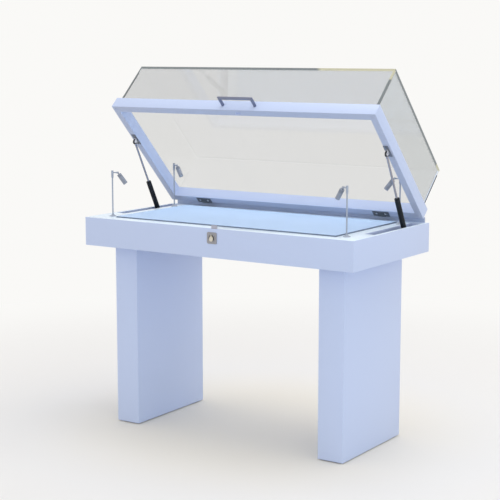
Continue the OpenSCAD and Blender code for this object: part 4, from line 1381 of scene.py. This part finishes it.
def make_lamp_posts():
    level = node_box("right_rim")[1].z
    top = (node_box("lamp_posts")[1].z - level) / MM
    feet, posts = [], []
    for corner in CORNERS:
        place = Vector(JOINTS["lamp_swivel_" + corner]["pos_m"])
        base = Matrix.Translation((place.x, place.y, level))
        foot = turned(profile((14, 0), (14, 1), (13.6, 1.5), *foot_flare(), (3.8, 10),
                              (POST_R, 10)))
        feet.append(smoothed(moved(foot, base)))
        post = turned(profile((POST_R, 0), (POST_R, 12), (2.6, 12.2), (2.6, 12.8), (POST_R, 13),
                              (POST_R, top)), SMALL_ROUND)
        posts.append(smoothed(moved(post, base)))
    piece(joined(feet), "lamp_flared_feet", "table", lamp_metal(), ("lamp_feet",))
    piece(joined(posts), "lamp_post_tubes", "table", lamp_metal(), ("lamp_posts",))


def lamp_axes(corner):
    """Matrix of a lamp, its post along Z through the origin and its arm along +X, and its reach."""
    post = Vector(JOINTS["lamp_swivel_" + corner]["pos_m"])
    tip = Vector(JOINTS["lamp_tilt_" + corner]["pos_m"])
    heading = math.atan2(tip.y - post.y, tip.x - post.x)
    level = Matrix.Translation((post.x, post.y, tip.z))
    return level @ Matrix.Rotation(heading, 4, "Z"), (tip - post).xy.length


def fork_parts(length):
    """The fork at the end of a lamp's arm: web, two ears and the heads of its pin."""
    back = length - FORK_L
    web = block((back, -FORK_HALF_W, -ARM_R), (back + FORK_WEB_T, FORK_HALF_W, ARM_R))
    parts = [bevelled(web, 0.3 * MM)]
    outline = [(x + length, y) for x, y in arc(FORK_R, -math.pi / 2, math.pi, 12)]
    outline += [(back, ARM_R), (back, -ARM_R)]
    upright = Matrix.Rotation(math.pi / 2, 4, "X")
    for start in (FORK_HALF_GAP, -FORK_HALF_GAP - FORK_EAR_T):
        place = Matrix.Translation((0, start + FORK_EAR_T, 0)) @ upright
        parts.append(bevelled(moved(drawn_out(outline, FORK_EAR_T), place), 0.3 * MM))
    for way in (-1, 1):
        place = Matrix.Translation((length, way * FORK_HALF_W, 0))
        head = turned(profile((2, 0), (2, 0.5), (1.6, 0.9), (0.8, 0.9), (0.7, 0.4)), TINY_ROUND)
        parts.append(moved(head, place @ Matrix.Rotation(-way * math.pi / 2, 4, "X")))
    return parts


def make_lamp_arm(corner):
    axes, length = lamp_axes(corner)
    low, high = node_box("lamp_arm_" + corner)
    level = axes.translation.z
    sleeve = turned(profile(
        (3.9, 0), (4.5, 0.5), (4.5, 5), (4.1, 5.3), (4.1, 6.1), (4.5, 6.4), base=low.z - level)
        + profile((4.5, -2.6), (4.1, -2.3), (4.1, -1.8), (4.5, -1.5), (4.5, -0.5), (4, 0),
                  (1.6, 0), (1.4, -1.2), base=high.z - level), SMALL_ROUND)
    arm = rod(ARM_R, Vector(), Vector((length - ARM_END, 0, 0)), SMALL_ROUND)
    parts = [sleeve, bevelled(arm, 0.2 * MM, 1)] + fork_parts(length)
    piece(smoothed(moved(joined(parts), axes)), "lamp_fork_" + corner, "arm_" + corner,
          lamp_metal(), ("lamp_arm_" + corner,))


def make_lamp_head(corner):
    axes, length = lamp_axes(corner)
    tilt = Matrix.Rotation(HEAD_TILT, 4, "Y") @ ALONG_X
    place = axes @ Matrix.Translation((length, 0, 0)) @ tilt
    fins = []
    for fin in range(FINS):
        start = FIN_START + FIN_PITCH * fin
        fins += [(8, start + 0.15), (8, start + 1.15), (9, start + 1.3), (9, start + FIN_PITCH)]
    shell = turned(profile(
        (5.8, 7), (7, 7.3), (8.4, 8.4), (9, 9.4), (9, FIN_START), *fins, (9, 45), (8.8, 45.2),
        (8.8, 45.7), (9, 45.9), (9, 52.4), (8.6, 53), (7.7, 53), (7.4, 52.6), (6.4, 46)))
    tongue = block((-2 * MM, -TONGUE_HALF_T, -0.5 * MM), (2 * MM, TONGUE_HALF_T, 8 * MM))
    half = Vector((0, TONGUE_HALF_T, 0))
    knuckle = rod(TONGUE_R, -half, half, SMALL_ROUND)
    whole = smoothed(moved(joined([shell, tongue, knuckle]), place))
    piece(whole, "lamp_shade_" + corner, "head_" + corner, lamp_head_metal_and_shade(),
          ("lamp_head_" + corner,))
    lens = turned(profile((6.9, 48.6), (7, 49.4), (6.2, 50), (4.6, 50.4), (2.4, 50.6),
                          (0.3, 50.7)))
    piece(smoothed(moved(lens, place), 60), "lamp_lens_" + corner, "head_" + corner,
          lens_glass())


class CASE_OT_lamps(bpy.types.Operator):
    """Makes the four lamps with their feet, posts, arms, heads and lenses"""
    bl_idname = "case.lamps"
    bl_label = "Lamps"

    def execute(self, context):
        make_lamp_posts()
        for corner in CORNERS:
            make_lamp_arm(corner)
            make_lamp_head(corner)
        return {"FINISHED"}


# ---------------------------------------------------------------------------
# Lock

LOCK_CORNER_R = 6 * MM
LOCK_PLATE_T = 3 * MM
LOCK_GAP_SHADE_END = 3.6 * MM  # painted shade: the floor of the gap between ring and plug is painted dark below this
DROP_LOW = -4 * MM  # centre of the drop's round end
DROP_R = 8.5 * MM
DROP_POINT = 15 * MM
COVER_START = 5.9 * MM
COVER_T = 2.1 * MM
PIVOT_UP = 8 * MM


def lock_axes():
    """Matrix of the lock: its face in X and Y, and Z out of the apron's front."""
    centre = Vector(JOINTS["lock_turn"]["pos_m"])
    front = node_box("front_apron")[0].y
    return Matrix.Translation((centre.x, front, centre.z)) @ Matrix.Rotation(math.pi / 2, 4, "X")


def make_escutcheon():
    low, high = node_box("escutcheon")
    inner = (high.x - low.x) / 2 - LOCK_CORNER_R
    outline = []
    for quarter, (x, y) in enumerate(((1, 1), (-1, 1), (-1, -1), (1, -1))):
        outline += [(x * inner + dx, y * inner + dy)
                    for dx, dy in arc(LOCK_CORNER_R, math.pi / 2 * quarter, math.pi / 2, 8)]
    plate = bevelled(drawn_out(outline, LOCK_PLATE_T), 0.8 * MM, 3)
    piece(moved(plate, lock_axes()), "escutcheon_plate", "table", lock_nickel(),
          ("escutcheon",))
    ring = smoothed(turned(profile(
        (15, 2.8), (15, 4.4), (14.6, 5.1), (13.9, 5.5), (12.8, 5.5), (12.2, 5.1), (11.8, 3.5))))
    piece(ring, "escutcheon_ring", "table", lock_nickel())
    # Painted shade on the floor of the gap inside the ring
    second_finish(ring, gap_painted_shade(), lambda face: (
        face.center.z < LOCK_GAP_SHADE_END and face.normal.z > 0.9))
    moved(ring, lock_axes())


def make_key_cover():
    lean = math.asin(DROP_R / (DROP_POINT - DROP_LOW))
    drop = [(0, DROP_POINT)]
    drop += [(x, DROP_LOW + y)
             for x, y in arc(DROP_R, math.pi - lean, math.pi + 2 * lean, 32)]
    cover = moved(drawn_out(drop, COVER_T), Matrix.Translation((0, 0, COVER_START)))
    carve(cover, block((-MM, -8 * MM, COVER_START + MM), (MM, 3 * MM, 9 * MM)))
    bevelled(cover, 0.5 * MM, 3)
    plug = turned(profile((8, 3.4), (8, 6)))
    pivot = moved(turned(profile((1.9, 7.7), (1.9, 8), (1.5, 8.05))),
                  Matrix.Translation((0, PIVOT_UP, -HAIR)))
    piece(moved(joined([cover, plug, pivot]), lock_axes()), "key_cover", "lock_cylinder",
          cover_nickel(), ("lock_plug",))


class CASE_OT_lock(bpy.types.Operator):
    """Makes the lock's escutcheon, ring and drop-shaped key cover"""
    bl_idname = "case.lock"
    bl_label = "Lock"

    def execute(self, context):
        make_escutcheon()
        make_key_cover()
        return {"FINISHED"}


# ---------------------------------------------------------------------------
# Finishes of the pieces that keep their construction form


def dress(look, *nodes):
    for node in nodes:
        materials = frame["nodes"][node].data.materials
        materials.clear()
        materials.append(look)


class CASE_OT_finishes(bpy.types.Operator):
    """Gives the carried-over pieces their finishes"""
    bl_idname = "case.finishes"
    bl_label = "Finishes"

    def execute(self, context):
        dress(lacquer(), "tray_floor", "deck_ledges")
        dress(raw_board(), "leg_blocks")
        dress(black_plastic(), "glides", "cable_gland")
        dress(white_plastic(), "led_driver")
        dress(satin_steel(), "hinge_pins", "strut_lower_brackets")
        dress(zinc_steel(), "leg_bolts", "case_screws", "handle_screws", "lamp_nuts", "lock_case",
              "lock_hook")
        dress(soft_rubber(), "glazing_channel", "frame_buffers")
        return {"FINISHED"}


OPERATORS = (CASE_OT_stage, CASE_OT_tray, CASE_OT_deck, CASE_OT_legs, CASE_OT_hood_frame,
             CASE_OT_panes, CASE_OT_handle, CASE_OT_hinges, CASE_OT_brackets, CASE_OT_struts,
             CASE_OT_lamps, CASE_OT_lock, CASE_OT_finishes)


class CASE_PT_panel(bpy.types.Panel):
    """Lists the pieces of the display case"""
    bl_label = "Display case"
    bl_idname = "CASE_PT_panel"
    bl_space_type = "VIEW_3D"
    bl_region_type = "UI"
    bl_category = "Display case"

    def draw(self, context):
        for operator in OPERATORS:
            self.layout.operator(operator.bl_idname)
        for group in (context.scene.case_sizes, context.scene.case_colours):
            for name in group.__annotations__:
                self.layout.prop(group, name)


CLASSES = (CaseSizes, CaseColours, *OPERATORS, CASE_PT_panel)


def register():
    for item in CLASSES:
        bpy.utils.register_class(item)
    bpy.types.Scene.case_sizes = bpy.props.PointerProperty(type=CaseSizes)
    bpy.types.Scene.case_colours = bpy.props.PointerProperty(type=CaseColours)


def unregister():
    del bpy.types.Scene.case_sizes
    del bpy.types.Scene.case_colours
    for item in reversed(CLASSES):
        bpy.utils.unregister_class(item)


def main():
    register()
    for operator in OPERATORS:
        family, name = operator.bl_idname.split(".")
        getattr(getattr(bpy.ops, family), name)()


if __name__ == "__main__":
    main()
